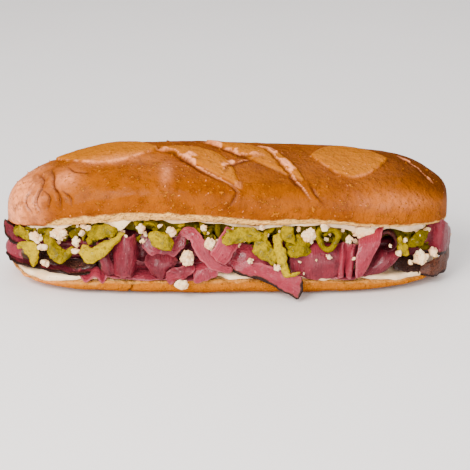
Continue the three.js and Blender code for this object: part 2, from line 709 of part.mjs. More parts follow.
addFilling(PEPPERS, pepperStrip, materials.pepper);
add(
  "pepper_ring",
  ringGeometry({ at: [52.5, 36, -0.5], radius: 5, wall: 1.6, height: 5, lean: [-0.1, -0.9, 0.35] }),
  materials.pepper,
);
addFilling(LUMPS, lumpGeometry, materials.cheese);
add(
  "beef_roll",
  rolledGeometry({ at: [83.5, 33, 1.5], radius: 5, turn: [-110, 205], depth: 14, lean: [0.1, 0.97, -0.1] }),
  materials.beef,
);
addFilling(BEEF, beefStrip, materials.beef);
addBehind(PEPPERS, pepperStrip, materials.pepper);
addBehind(LUMPS, lumpGeometry, materials.cheese);
addBehind(BEEF, beefStrip, materials.beef);

// The origin is the middle of the foot.
const box = new THREE.Box3().setFromObject(sandwich);
const middle = box.getCenter(new THREE.Vector3());
sandwich.position.set(-middle.x, -middle.y, -box.min.z);


export default sandwich;
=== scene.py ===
"""A submarine sandwich: a glazed roll filled with cured beef, pickled peppers, cheese and dressing.

Lengths are drawing millimetres, as in the part's source: +X runs along the roll, -Y faces the front, and
+Z is up from a level that lies FOOT_LEVEL under the roll. Meshes are written in metres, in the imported
model's frame.
"""
import logging
import math
from dataclasses import dataclass, field
from enum import Enum
from typing import Callable, Mapping, Sequence, Union

import bpy
import numpy as np
from mathutils import Matrix, Vector


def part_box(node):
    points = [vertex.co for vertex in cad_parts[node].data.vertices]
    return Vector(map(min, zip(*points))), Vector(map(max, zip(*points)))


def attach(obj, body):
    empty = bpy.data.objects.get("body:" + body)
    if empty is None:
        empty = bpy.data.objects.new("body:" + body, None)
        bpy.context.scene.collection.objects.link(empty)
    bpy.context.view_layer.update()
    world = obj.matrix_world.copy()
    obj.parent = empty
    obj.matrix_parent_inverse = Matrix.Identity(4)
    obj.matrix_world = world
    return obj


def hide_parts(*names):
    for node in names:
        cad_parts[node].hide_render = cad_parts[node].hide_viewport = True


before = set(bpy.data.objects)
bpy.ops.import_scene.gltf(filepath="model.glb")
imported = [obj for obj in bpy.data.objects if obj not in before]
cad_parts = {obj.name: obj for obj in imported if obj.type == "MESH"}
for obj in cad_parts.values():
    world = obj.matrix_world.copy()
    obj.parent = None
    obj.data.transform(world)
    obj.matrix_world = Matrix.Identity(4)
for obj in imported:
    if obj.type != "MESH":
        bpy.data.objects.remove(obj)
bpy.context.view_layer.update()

Array = np.ndarray
Colour = tuple[float, float, float, float]
Place = tuple[float, float, float]

MM = 0.001
FULL_TURN = 2.0 * math.pi
log = logging.getLogger("sandwich")

# Driving sizes of the roll and its filling
HALF_WIDTH = 40.0
FOOT_LEVEL = 4.2
BASE_CUT = 13.5
LID_CUT = 46.0
CROWN_RADIUS = 33.0
EDGE_SHARE = 0.95
LAYER_SPLIT = 33.5
HEART_INSET = 9.0
HEART_HALF_LENGTH = 111.0
MEAT_THICKNESS = 1.5
PEPPER_THICKNESS = 2.6
DRESSING_THICKNESS = 2.6
DRESSING_GAP = 0.6

# How much closer the stations of the bread halves lie towards the ends
CROWDING = 1.3


def paint(red: float, green: float, blue: float) -> Colour:
    """A colour in linear light, each part from 0 to 1."""
    return (red, green, blue, 1.0)


def smooth(low: float, high: float, value: Array) -> Array:
    """A smooth step that goes from 0 at low to 1 at high."""
    share = np.clip((value - low) / (high - low), 0.0, 1.0)
    return share * share * (3.0 - 2.0 * share)


def hump(x: Array, centre: float, reach: float) -> Array:
    """A rounded hump of height 1."""
    return np.exp(-(((x - centre) / reach) ** 2))


def wobble(x: Array, seed: float) -> Array:
    """A slow wave along the roll, from about -1 to 1."""
    return 0.6 * np.sin(x * 0.21 + seed) + 0.4 * np.sin(x * 0.083 + 2.1 * seed)


def through(values: Sequence[float], share: Array) -> Array:
    """A value that runs through a list, evenly spaced, as share goes from 0 to 1."""
    return np.interp(share, np.linspace(0.0, 1.0, len(values)), values)


def crowded(steps: int, power: float) -> Array:
    """Shares from just above -1 to just below 1, closer together near both ends."""
    t = np.linspace(-1.0, 1.0, steps + 1)[1:-1]
    return np.sign(t) * (1.0 - (1.0 - np.abs(t)) ** power)


class Grain:
    """Smooth repeatable noise in space, from -1 to 1."""

    CELLS: int = 32

    def __init__(self, seed: int) -> None:
        """Fills the lattice.

        Args:
            seed: picks the lattice's values.
        """
        self.lattice = np.random.default_rng(seed).uniform(-1.0, 1.0, (self.CELLS,) * 3)

    def at(self, points: Array, size: float) -> Array:
        """Reads the noise.

        Args:
            points: places in millimetres, in any array whose last axis is 3 long.
            size: width of one cell in millimetres.

        Returns:
            One value for each place.
        """
        place = np.asarray(points, float) / size
        cell = np.floor(place).astype(int)
        part = place - cell
        part = part * part * (3.0 - 2.0 * part)
        total = np.zeros(place.shape[:-1])
        for corner in np.ndindex(2, 2, 2):
            weight = np.prod(np.where(corner, part, 1.0 - part), axis=-1)
            index = (cell + corner) % self.CELLS
            total += weight * self.lattice[index[..., 0], index[..., 1], index[..., 2]]
        return total

    def layered(self, points: Array, size: float, layers: int = 3) -> Array:
        """Adds up several layers, each half as wide and half as strong as the one before."""
        shift = 17.3
        return sum(self.at(points + shift * k, size / 2**k) / 2**k for k in range(layers))


@dataclass(frozen=True)
class Plan:
    """Outline of one half of the roll from above, with a length and a bluntness for each end."""

    left: float
    left_taper: float
    right: float
    right_taper: float

    def share(self, x: Array) -> Array:
        """How far along its half a place lies, from 0 at mid length to 1 at the end."""
        return np.minimum(np.abs(x) / np.where(x < 0, self.left, self.right), 1.0)

    def fullness(self, x: Array) -> Array:
        """1 at mid length and 0 at the ends."""
        return 1.0 - self.share(x) ** np.where(x < 0, self.left_taper, self.right_taper)

    def half_width(self, x: Array) -> Array:
        """Half the width of the roll at places along it."""
        return HALF_WIDTH * np.sqrt(self.fullness(x))

    def stations(self, steps: int, power: float) -> Array:
        """Places along the roll, closer together near its ends."""
        share = crowded(steps, power)
        return np.where(share < 0, self.left, self.right) * share


LID_PLAN = Plan(119.0, 2.8, 118.5, 6.0)
BASE_PLAN = Plan(118.0, 5.0, 117.0, 4.0)
HEAP_PLAN = Plan(119.6, 2.9, 119.6, 4.2)


def curl_at(x: Array) -> Array:
    """How far the left end of the lower half turns up."""
    return 5.0 * hump(x, -120.0, 9.0)


def base_cut_at(x: Array) -> Array:
    """Height of the lower half's cut face."""
    return BASE_CUT - 4.5 * BASE_PLAN.share(x) ** 2 + curl_at(x)


def foot_at(x: Array) -> Array:
    """Height of the roll's underside, which rises at the ends."""
    lift = np.where(x < 0, 6.3, 5.0) * BASE_PLAN.share(x) ** 4
    return FOOT_LEVEL + lift + curl_at(x) / 2.0


def lid_cut_at(x: Array) -> Array:
    """Works out the height of the upper half's cut face.

    Args:
        x: places along the roll.

    Returns:
        The heights there, which droop towards the ends and wave between them.
    """
    droop = np.where(x < 0, 11.5, 9.0) * LID_PLAN.share(x) ** 2.2
    waves = 5.0 * hump(x, -55.0, 28.0) - 2.0 * hump(x, 15.0, 22.0) + 1.5 * hump(x, 104.0, 14.0)
    return LID_CUT - droop + waves


def crown_at(x: Array) -> Array:
    """Works out the height of the upper half's crown.

    Args:
        x: places along the roll.

    Returns:
        The heights there.
    """
    away = LID_PLAN.share(x) ** 2.2
    level = LID_CUT + (np.where(x < 0, 37.7, 41.4) - LID_CUT) * away
    rise = 28.5 - 0.029 * x
    return level + rise * LID_PLAN.fullness(x) ** (1.0 / np.where(x < 0, 3.0, 4.2))


def edge_at(x: Array) -> Array:
    """How far the heap's edge lies from the middle line."""
    return EDGE_SHARE * HEAP_PLAN.half_width(x)


def beef_top_at(x: Array) -> Array:
    """Height where the stacked beef ends and the peppers begin."""
    return LAYER_SPLIT * (lid_cut_at(x) + base_cut_at(x)) / (LID_CUT + BASE_CUT)


def heart_half_width(x: Array) -> Array:
    """Half the width of the heart of the heap."""
    return np.maximum(5.0, edge_at(x) - HEART_INSET)


def placed(places: Sequence[Place]) -> Array:
    """Turns places in the filling (along the roll, height, distance in front of the edge) into points."""
    x, z, out = np.array(places, float).T
    return np.stack([x, -(edge_at(x) + out), z], axis=-1)


def drawing_shift() -> Array:
    """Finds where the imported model's frame lies.

    Returns:
        The step to it from the drawing, in millimetres.
    """
    lid_low, lid_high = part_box("bun_lid")
    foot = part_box("bun_base")[0].z
    middle = (lid_low.y + lid_high.y) / 2.0
    return np.array([lid_low.x / MM + LID_PLAN.left, middle / MM, foot / MM - FOOT_LEVEL])


SHIFT = drawing_shift()


def catmull_rom(points: Array, share: Array) -> Array:
    """A centripetal spline through points, as three.js draws it.

    Args:
        points: the places that it passes through.
        share: how far along it each sample lies, from 0 to 1.

    Returns:
        One point for each sample.
    """
    before = 2.0 * points[0] - points[1]
    after = 2.0 * points[-1] - points[-2]
    knots = np.vstack([before, points, after])
    place = share * (len(points) - 1)
    first = np.minimum(place.astype(int), len(points) - 2)
    part = (place - first)[:, None]
    p0, p1, p2, p3 = (knots[first + k] for k in range(4))
    d0, d1, d2 = (np.linalg.norm(b - a, axis=1)[:, None] ** 0.5 for a, b in ((p0, p1), (p1, p2), (p2, p3)))
    start = ((p1 - p0) / d0 - (p2 - p0) / (d0 + d1) + (p2 - p1) / d1) * d1
    end = ((p2 - p1) / d1 - (p3 - p1) / (d1 + d2) + (p3 - p2) / d2) * d1
    square = -3.0 * p1 + 3.0 * p2 - 2.0 * start - end
    cube = 2.0 * p1 - 2.0 * p2 + start + end
    return p1 + part * (start + part * (square + part * cube))


def ring_normals(rings: Array) -> Array:
    """Works out which way a skin of rings faces.

    Args:
        rings: points by ring and by place around it.

    Returns:
        A unit vector that points outwards, for each point.
    """
    along = np.gradient(rings, axis=0)
    around = np.roll(rings, -1, axis=1) - np.roll(rings, 1, axis=1)
    normals = np.cross(around, along)
    normals /= np.linalg.norm(normals, axis=-1, keepdims=True) + 1e-9
    outward = np.sum(normals * (rings - rings.mean(axis=1, keepdims=True)))
    return normals if outward > 0 else -normals


@dataclass
class Skin:
    """A closed skin in drawing millimetres, with point attributes that its material reads."""

    points: Array
    faces: list[list[int]]
    fields: dict[str, Array] = field(default_factory=dict)

    @classmethod
    def lofted(cls, rings: Array, fields: Mapping[str, Array], closed: bool = False) -> "Skin":
        """Skins a row of rings.

        Args:
            rings: points by ring and by place around it.
            fields: values by ring and by place, for each attribute.
            closed: True where the last ring joins the first. A pole closes each end where it is False.

        Returns:
            The closed skin, with its faces outwards.
        """
        count, around = rings.shape[:2]
        grid = np.arange(count * around).reshape(count, around)
        turned = np.roll(grid, -1, axis=1)
        after = np.roll(grid, -1, axis=0)
        last = count if closed else count - 1
        corners = (grid, turned, np.roll(after, -1, axis=1), after)
        faces = np.stack([c[:last] for c in corners], axis=-1).reshape(-1, 4).tolist()
        points = rings.reshape(-1, 3)
        flat = {name: values.reshape(count * around, -1) for name, values in fields.items()}
        if not closed:
            points = np.vstack([points, rings[0].mean(axis=0), rings[-1].mean(axis=0)])
            start = count * around
            faces += [[start, turned[0, k], grid[0, k]] for k in range(around)]
            faces += [[start + 1, grid[-1, k], turned[-1, k]] for k in range(around)]
            for name, values in flat.items():
                ends = [values[:around].mean(axis=0), values[-around:].mean(axis=0)]
                flat[name] = np.vstack([values, *ends])
        skin = cls(points, faces, flat)
        skin.face_outwards()
        return skin

    def face_outwards(self) -> None:
        """Turns the faces round where they enclose a negative volume."""
        halves = [[f[0], f[2], f[3]] for f in self.faces if len(f) > 3]
        corners = np.array([f[:3] for f in self.faces] + halves)
        a, b, c = (self.points[corners[:, k]] for k in range(3))
        if np.sum(a * np.cross(b, c)) < 0:
            self.faces = [face[::-1] for face in self.faces]

    def turned_round(self) -> "Skin":
        """The same skin turned half round the upright axis, for the far side."""
        return Skin(self.points * np.array([-1.0, -1.0, 1.0]), self.faces, self.fields)

    @staticmethod
    def joined(skins: Sequence["Skin"]) -> "Skin":
        """Joins skins that all have the same fields.

        Args:
            skins: the skins.

        Returns:
            One skin with the points and faces of all of them.
        """
        starts = np.cumsum([0] + [len(s.points) for s in skins[:-1]])
        faces = [[i + int(start) for i in face] for s, start in zip(skins, starts) for face in s.faces]
        names = skins[0].fields
        fields = {name: np.concatenate([s.fields[name] for s in skins]) for name in names}
        return Skin(np.concatenate([s.points for s in skins]), faces, fields)

    def mesh(self, name: str) -> bpy.types.Mesh:
        """Writes the skin as a Blender mesh.

        Args:
            name: the mesh's name.

        Returns:
            The mesh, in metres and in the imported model's frame.
        """
        mesh = bpy.data.meshes.new(name)
        mesh.from_pydata(((self.points + SHIFT) * MM).tolist(), [], self.faces)
        for label, values in self.fields.items():
            wide = values.shape[-1] == 3
            kind = "FLOAT_VECTOR" if wide else "FLOAT"
            attribute = mesh.attributes.new(label, kind, "POINT")
            attribute.data.foreach_set("vector" if wide else "value", values.astype(np.float32).ravel())
        mesh.polygons.foreach_set("use_smooth", [True] * len(mesh.polygons))
        mesh.update()
        return mesh


class Slot(Enum):
    """The record's material slots."""

    CRUST = "crust"
    BEEF = "beef"
    PEPPER = "pepper"
    CHEESE = "cheese"
    DRESSING = "dressing"


def linked(name: str, data: bpy.types.ID) -> bpy.types.Object:
    """Makes an object and links it into the scene.

    Args:
        name: its name.
        data: the mesh, light or camera that it holds.

    Returns:
        The object.
    """
    made = bpy.data.objects.new(name, data)
    bpy.context.scene.collection.objects.link(made)
    return made


def shown(name: str, mesh: bpy.types.Mesh, material: bpy.types.Material, slot: Slot, *nodes: str) -> None:
    """Adds a finished piece to the scene.

    Args:
        name: the piece's name.
        mesh: its mesh, in place.
        material: its finish.
        slot: the record's slot that the finish belongs to; not used.
        nodes: the CAD nodes that it stands for.
    """
    piece = linked(name, mesh)
    piece.data.materials.clear()
    piece.data.materials.append(material)
    if nodes:
        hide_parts(*nodes)
    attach(piece, "root")
    log.info("%s: %d faces", name, len(mesh.polygons))


# Shading

Operand = Union["Wire", float]
Settings = Mapping[str, object]
Inputs = Mapping[Union[int, str], object]


class Wire:
    """A socket that takes part in Python arithmetic: each operator adds a Math node."""

    def __init__(self, board: "Board", socket: bpy.types.NodeSocket) -> None:
        """Keeps the socket and the tree that it belongs to."""
        self.board = board
        self.socket = socket

    def _maths(self, operation: str, first: Operand, second: Operand) -> "Wire":
        """Adds a Math node."""
        return self.board.wire("ShaderNodeMath", {"operation": operation}, {0: first, 1: second})

    def __add__(self, other: Operand) -> "Wire":
        """self + other"""
        return self._maths("ADD", self, other)

    def __radd__(self, other: float) -> "Wire":
        """other + self"""
        return self._maths("ADD", other, self)

    def __sub__(self, other: Operand) -> "Wire":
        """self - other"""
        return self._maths("SUBTRACT", self, other)

    def __rsub__(self, other: float) -> "Wire":
        """other - self"""
        return self._maths("SUBTRACT", other, self)

    def __mul__(self, other: Operand) -> "Wire":
        """self * other"""
        return self._maths("MULTIPLY", self, other)

    def __rmul__(self, other: float) -> "Wire":
        """other * self"""
        return self._maths("MULTIPLY", other, self)

    def step(self, low: float, high: float) -> "Wire":
        """A smooth step that goes from 0 at low to 1 at high."""
        settings = {"interpolation_type": "SMOOTHSTEP"}
        return self.board.wire("ShaderNodeMapRange", settings, {0: self, 1: low, 2: high})


class Board:
    """A node tree while its nodes are wired."""

    def __init__(self, tree: bpy.types.NodeTree) -> None:
        """Starts on a tree."""
        self.tree = tree

    def wire(self, kind: str, settings: Settings, inputs: Inputs, output: Union[int, str] = 0) -> Wire:
        """Adds a node.

        Args:
            kind: the node's type.
            settings: its properties, which are set first.
            inputs: a value or a wire for each socket that is given.
            output: the socket that is wanted of it.

        Returns:
            That socket, as a wire.
        """
        made = self.tree.nodes.new(kind)
        for name, value in settings.items():
            setattr(made, name, value)
        for key, value in inputs.items():
            if isinstance(value, Wire):
                self.tree.links.new(value.socket, made.inputs[key])
            else:
                made.inputs[key].default_value = value
        return Wire(self, made.outputs[output])


class Paintwork(Board):
    """One material while its nodes are wired."""

    def __init__(self, name: str, constants: Mapping[str, object]) -> None:
        """Starts a material.

        Args:
            name: the material's name.
            constants: values for the shader's own sockets.
        """
        self.material = bpy.data.materials.new(name)
        self.material.use_nodes = True
        super().__init__(self.material.node_tree)
        self.shader = self.tree.nodes["Principled BSDF"]
        for socket, value in constants.items():
            self.shader.inputs[socket].default_value = value

    def field(self, name: str) -> Wire:
        """Reads a point attribute as a number."""
        return self.wire("ShaderNodeAttribute", {"attribute_name": name}, {}, "Fac")

    def place(self, stretch: Sequence[float] = (1.0, 1.0, 1.0), along: str = "") -> Wire:
        """A place in millimetres to read a pattern at.

        Args:
            stretch: how many times the pattern is drawn out along each direction.
            along: a vector attribute to read in place of object coordinates.

        Returns:
            The place, as a vector.
        """
        if along:
            source = self.wire("ShaderNodeAttribute", {"attribute_name": along}, {}, "Vector")
            scale = tuple(1.0 / s for s in stretch)
        else:
            source = self.wire("ShaderNodeTexCoord", {}, {}, "Object")
            scale = tuple(1.0 / (MM * s) for s in stretch)
        return self.wire("ShaderNodeVectorMath", {"operation": "MULTIPLY"}, {0: source, 1: scale})

    def noise(self, place: Wire, size: float, detail: float = 2.0) -> Wire:
        """Cloudy noise about 0.5, with patches of about `size` millimetres."""
        inputs = {"Vector": place, "Scale": 1.0 / size, "Detail": detail}
        return self.wire("ShaderNodeTexNoise", {}, inputs)

    def cells(self, place: Wire, size: float) -> Wire:
        """Distance to the nearest of points about `size` millimetres apart, from 0 to about 1."""
        return self.wire("ShaderNodeTexVoronoi", {}, {"Vector": place, "Scale": 1.0 / size}, "Distance")

    def mix(self, first: Union[Wire, Colour], second: Union[Wire, Colour], share: Operand) -> Wire:
        """Blends two colours: the first at 0 and the second at 1."""
        return self.wire("ShaderNodeMix", {"data_type": "RGBA"}, {0: share, 6: first, 7: second}, 2)

    def feed(self, socket: str, wire: Wire) -> None:
        """Joins a wire to one of the shader's sockets."""
        self.tree.links.new(wire.socket, self.shader.inputs[socket])

    def bump(self, height: Wire, depth: float) -> None:
        """Feeds the shader's normal with relief of a depth in millimetres."""
        inputs = {"Height": height, "Strength": 1.0, "Distance": depth * MM}
        self.feed("Normal", self.wire("ShaderNodeBump", {}, inputs))


@dataclass(frozen=True)
class CrustFinish:
    """Egg-washed crust over a pale crumb, with painted highlights, glints and shade laid into its colour."""

    golden: Colour = paint(0.295, 0.071, 0.0)
    deep: Colour = paint(0.175, 0.037, 0.0)
    brown: Colour = paint(0.125, 0.029, 0.0)
    leaf: Colour = paint(0.41, 0.122, 0.0)
    # Colour of the painted highlights and glints.
    sheen: Colour = paint(0.95, 0.3, 0.11)
    # Blisters, bright as a painted glint on them.
    fleck: Colour = paint(0.5, 0.145, 0.002)
    # Torn lips: pale crumb with a painted highlight along them.
    torn: Colour = paint(0.95, 0.33, 0.14)
    # Colour of the painted shade in grooves, creases and cracks.
    crevice: Colour = paint(0.06, 0.01, 0.0005)
    band: Colour = paint(0.85, 0.45, 0.12)
    crumb: Colour = paint(0.85, 0.55, 0.22)

    def material(self) -> bpy.types.Material:
        """Builds the material.

        Returns:
            The material, which reads the point attributes of the pieces that wear it.
        """
        constants = {
            "Subsurface Weight": 0.04,
            "Subsurface Radius": (1.0, 0.3, 0.1),
            "Subsurface Scale": 2.0 * MM,
            "Coat Roughness": 0.24,
            "Specular IOR Level": 0.0,
        }
        board = Paintwork("glazed_crust", constants)
        place = board.place()
        cloud = board.noise(place, 34.0, 2.0)
        mottle = board.noise(place, 6.0, 4.0)
        pore = board.noise(place, 1.5, 3.0)
        blister = board.noise(place, 1.9, 3.0)
        pale = board.field("pale")
        crumb = board.field("crumb")
        torn = board.field("torn")
        baked = board.field("baked")
        sheen = board.field("sheen")
        bare = 1.0 - (1.0 - pale) * (1.0 - crumb)
        darker = cloud.step(0.36, 0.64) * 0.7 + mottle.step(0.42, 0.7) * 0.5
        colour = board.mix(self.golden, self.deep, darker)
        # Browning, with painted shade along the top of the crown.
        colour = board.mix(colour, self.brown, baked * (0.7 + mottle * 0.6))
        colour = board.mix(colour, self.leaf, board.field("leaf") * (0.45 + mottle * 0.8))
        # Painted highlight where the glaze would catch the light, laid into the colour.
        colour = board.mix(colour, self.sheen, sheen * (mottle * 2.6 - 0.5))
        # Small bright flecks: blisters in the crust with painted glints on them.
        fleck = blister.step(0.54, 0.66) * mottle.step(0.46, 0.6) * (1.0 - baked)
        colour = board.mix(colour, self.fleck, fleck * 0.8)
        # Painted glints: tiny pale specks in the highlight colour.
        colour = board.mix(colour, self.sheen, pore.step(0.66, 0.72) * cloud.step(0.44, 0.56) * 0.5)
        # Torn lips and leaf borders: paler crumb with a painted highlight.
        colour = board.mix(colour, self.torn, torn * pore.step(0.15, 0.4))
        # Painted shade in the grooves, creases and cracks.
        colour = board.mix(colour, self.crevice, board.field("crevice"))
        colour = board.mix(colour, self.band, pale * (0.6 + pore * 0.7))
        colour = board.mix(colour, self.crumb, crumb)
        board.feed("Base Color", colour)
        board.feed("Roughness", 0.32 + mottle * 0.14 + bare * 0.45 + torn * 0.2)
        board.feed("Coat Weight", (1.0 - bare) * (0.09 + sheen * 0.35) * (1.0 - torn))
        holes = (1.0 - board.cells(place, 1.7).step(0.1, 0.55)) * bare
        dents = board.noise(place, 3.4, 4.0)
        board.bump(pore * 0.4 + mottle * 1.2 + dents * 1.2 + fleck * 0.6 - holes * 0.7, 1.5)
        return board.material


@dataclass(frozen=True)
class BeefFinish:
    """Moist cured beef with fine fibres, pale fat, painted glint specks and a dark spiced bark."""

    rose: Colour = paint(0.27, 0.023, 0.04)
    wine: Colour = paint(0.045, 0.004, 0.0078)
    fat: Colour = paint(0.6, 0.17, 0.19)
    bark: Colour = paint(0.02, 0.006, 0.004)
    tan: Colour = paint(0.13, 0.045, 0.02)

    def material(self) -> bpy.types.Material:
        """Builds the material.

        Returns:
            The material, which reads the point attributes of the pieces that wear it.
        """
        constants = {
            "Subsurface Weight": 0.08,
            "Subsurface Radius": (1.0, 0.25, 0.2),
            "Subsurface Scale": 1.4 * MM,
            "Coat Roughness": 0.2,
            "Specular IOR Level": 0.08,
        }
        board = Paintwork("cured_beef", constants)
        fibres = board.noise(board.place((7.0, 0.9, 1.0), "grain"), 0.9, 3.0)
        patches = board.noise(board.place((1.6, 1.0, 1.0), "grain"), 5.0, 3.0)
        glints = board.noise(board.place((1.5, 1.0, 1.0), "grain"), 1.3, 2.0)
        speck = board.noise(board.place((1.0, 1.0, 1.0), "grain"), 0.8, 1.0)
        pits = board.cells(board.place((1.0, 1.0, 1.0), "grain"), 2.6)
        tone = board.field("tone") + (patches - 0.5) * 0.9 + (fibres - 0.5) * 0.35
        colour = board.mix(self.rose, self.wine, tone.step(-0.2, 1.05))
        # Pale fibre streaks and painted glint specks.
        streak = fibres.step(0.6, 0.8) * 0.25 + glints.step(0.66, 0.74) * 0.4
        colour = board.mix(colour, self.fat, streak * (1.0 - board.field("tone") * 0.6))
        colour = board.mix(colour, self.fat, board.field("rim") * 0.3 * (1.0 - board.field("tone")))
        bark = board.field("bark")
        colour = board.mix(colour, self.tan, (bark * 1.6).step(0.1, 0.7) * 0.7)
        colour = board.mix(colour, self.bark, (bark + (speck - 0.5) * 0.5).step(0.35, 0.62))
        board.feed("Base Color", colour)
        board.feed("Roughness", 0.36 + patches * 0.2 + bark * 0.2)
        board.feed("Coat Weight", 0.26 - bark * 0.08)
        hollow = 1.0 - pits.step(0.05, 0.2)
        board.bump(fibres * 0.5 + patches * 1.6 + glints * 0.8 + bark * speck * 2.0 - hollow * 0.4, 0.9)
        return board.material


@dataclass(frozen=True)
class PepperFinish:
    """Wet pickled pepper, from bright yellow to olive, with patches of painted shade."""

    bright: Colour = paint(0.43, 0.295, 0.0)
    olive: Colour = paint(0.12, 0.085, 0.0)
    flesh: Colour = paint(0.42, 0.31, 0.02)
    shade: Colour = paint(0.07, 0.05, 0.0)

    def material(self) -> bpy.types.Material:
        """Builds the material.

        Returns:
            The material, which reads the point attributes of the pieces that wear it.
        """
        constants = {
            "Subsurface Weight": 0.15,
            "Subsurface Radius": (1.0, 0.8, 0.1),
            "Subsurface Scale": 2.0 * MM,
            "Coat Roughness": 0.1,
            "Specular IOR Level": 0.0,
        }
        board = Paintwork("pickled_pepper", constants)
        place = board.place()
        patches = board.noise(place, 3.6, 3.0)
        fine = board.noise(place, 1.3, 2.0)
        tone = board.field("tone") + (patches - 0.5) * 1.7
        colour = board.mix(self.bright, self.olive, tone.step(-0.1, 0.8))
        colour = board.mix(colour, self.flesh, fine.step(0.6, 0.75) * 0.1)
        colour = board.mix(colour, self.olive, board.field("rim") * 0.12)
        # Patches of painted shade.
        colour = board.mix(colour, self.shade, (1.0 - patches.step(0.3, 0.42)) * 0.6)
        board.feed("Base Color", colour)
        board.feed("Roughness", 0.24 + fine * 0.2)
        board.feed("Coat Weight", patches.step(0.5, 0.64) * 0.3)
        board.bump(fine * 0.8 + patches * 1.6, 1.1)
        return board.material


@dataclass(frozen=True)
class CheeseFinish:
    """Crumbled white cheese."""

    white: Colour = paint(0.93, 0.7, 0.42)
    cream: Colour = paint(0.86, 0.5, 0.22)
    blush: Colour = paint(0.7, 0.3, 0.16)

    def material(self) -> bpy.types.Material:
        """Builds the material.

        Returns:
            The material, which reads the point attributes of the pieces that wear it.
        """
        constants = {
            "Subsurface Weight": 0.12,
            "Subsurface Radius": (1.0, 0.8, 0.6),
            "Subsurface Scale": 1.2 * MM,
            "Specular IOR Level": 0.3,
        }
        board = Paintwork("white_cheese", constants)
        place = board.place()
        patches = board.noise(place, 3.0, 3.0)
        fine = board.noise(place, 0.7, 2.0)
        colour = board.mix(self.white, self.cream, patches.step(0.4, 0.66))
        stained = board.noise(place, 9.0, 1.0).step(0.54, 0.7)
        colour = board.mix(colour, self.blush, stained * 0.45)
        board.feed("Base Color", colour)
        board.feed("Roughness", 0.55 + fine * 0.3)
        board.bump(fine + patches * 0.8, 0.35)
        return board.material


@dataclass(frozen=True)
class DressingFinish:
    """Smooth cream dressing with a few spices in it."""

    white: Colour = paint(0.9, 0.66, 0.41)
    cream: Colour = paint(0.85, 0.56, 0.3)
    spice: Colour = paint(0.2, 0.1, 0.04)

    def material(self) -> bpy.types.Material:
        """Builds the material.

        Returns:
            The material, which reads the point attributes of the pieces that wear it.
        """
        constants = {
            "Subsurface Weight": 0.15,
            "Subsurface Radius": (1.0, 0.85, 0.65),
            "Subsurface Scale": 1.6 * MM,
            "Coat Roughness": 0.2,
            "Specular IOR Level": 0.3,
        }
        board = Paintwork("cream_dressing", constants)
        place = board.place()
        patches = board.noise(place, 7.0, 3.0)
        fleck = 1.0 - board.cells(place, 3.2).step(0.06, 0.1)
        colour = board.mix(self.white, self.cream, patches.step(0.4, 0.7))
        colour = board.mix(colour, self.spice, fleck * 0.8)
        board.feed("Base Color", colour)
        board.feed("Roughness", 0.3 + patches * 0.2)
        board.feed("Coat Weight", 0.2 + patches * 0.2)
        board.bump(patches + board.noise(place, 1.6, 1.0) * 0.4, 0.3)
        return board.material


# Crust

@dataclass(frozen=True)
class Score:
    """A leaf that a baker's cut opened in the crust, between two tips over the crown."""

    start: tuple[float, float]
    end: tuple[float, float]
    below: float
    above: float
    rise: float
    # Strength of the painted highlight round the leaf's border.
    rim: float = 0.0

    def depth(self, x: Array, over: Array) -> Array:
        """Measures places against the leaf.

        Args:
            x: places along the roll.
            over: places over the crown.

        Returns:
            How far each lies from the leaf's axis, from 0 on it to 1 at its border and more outside.
        """
        axis = np.array(self.end) - np.array(self.start)
        length = np.linalg.norm(axis)
        axis = axis / length
        dx, dy = x - self.start[0], over - self.start[1]
        along = 2.0 * (dx * axis[0] + dy * axis[1]) / length - 1.0
        across = axis[0] * dy - axis[1] * dx
        reach = np.maximum(1.0 - along**2, 1e-3)
        return np.where(across < 0, -across / (self.below * reach), across / (self.above * reach))


@dataclass(frozen=True)
class Mark:
    """A line over the crown, given as (along the roll, over the crown) places."""

    places: tuple[tuple[float, float], ...]
    width: float
    depth: float
    steps: int = 8

    def measure(self, x: Array, over: Array) -> tuple[Array, Array]:
        """Measures places against the line.

        Args:
            x: places along the roll.
            over: places over the crown.

        Returns:
            The distance from the line, positive on the far side of it, and the share of its length there.
        """
        corners = np.array([(a, b, 0.0) for a, b in self.places])
        count = self.steps * (len(corners) - 1)
        line = catmull_rom(corners, np.linspace(0.0, 1.0, count + 1))
        nearest = np.full(x.shape, 1e3)
        signed = np.full(x.shape, 1e3)
        share = np.zeros(x.shape)
        for k, (a, b) in enumerate(zip(line[:-1], line[1:])):
            step = b - a
            length = np.hypot(step[0], step[1])
            dx, dy = x - a[0], over - a[1]
            along = np.clip((dx * step[0] + dy * step[1]) / length**2, 0.0, 1.0)
            far = np.hypot(dx - along * step[0], dy - along * step[1])
            side = np.where(step[0] * dy - step[1] * dx < 0, -1.0, 1.0)
            better = far < nearest
            nearest = np.where(better, far, nearest)
            signed = np.where(better, far * side, signed)
            share = np.where(better, (k + along) / count, share)
        return signed, share


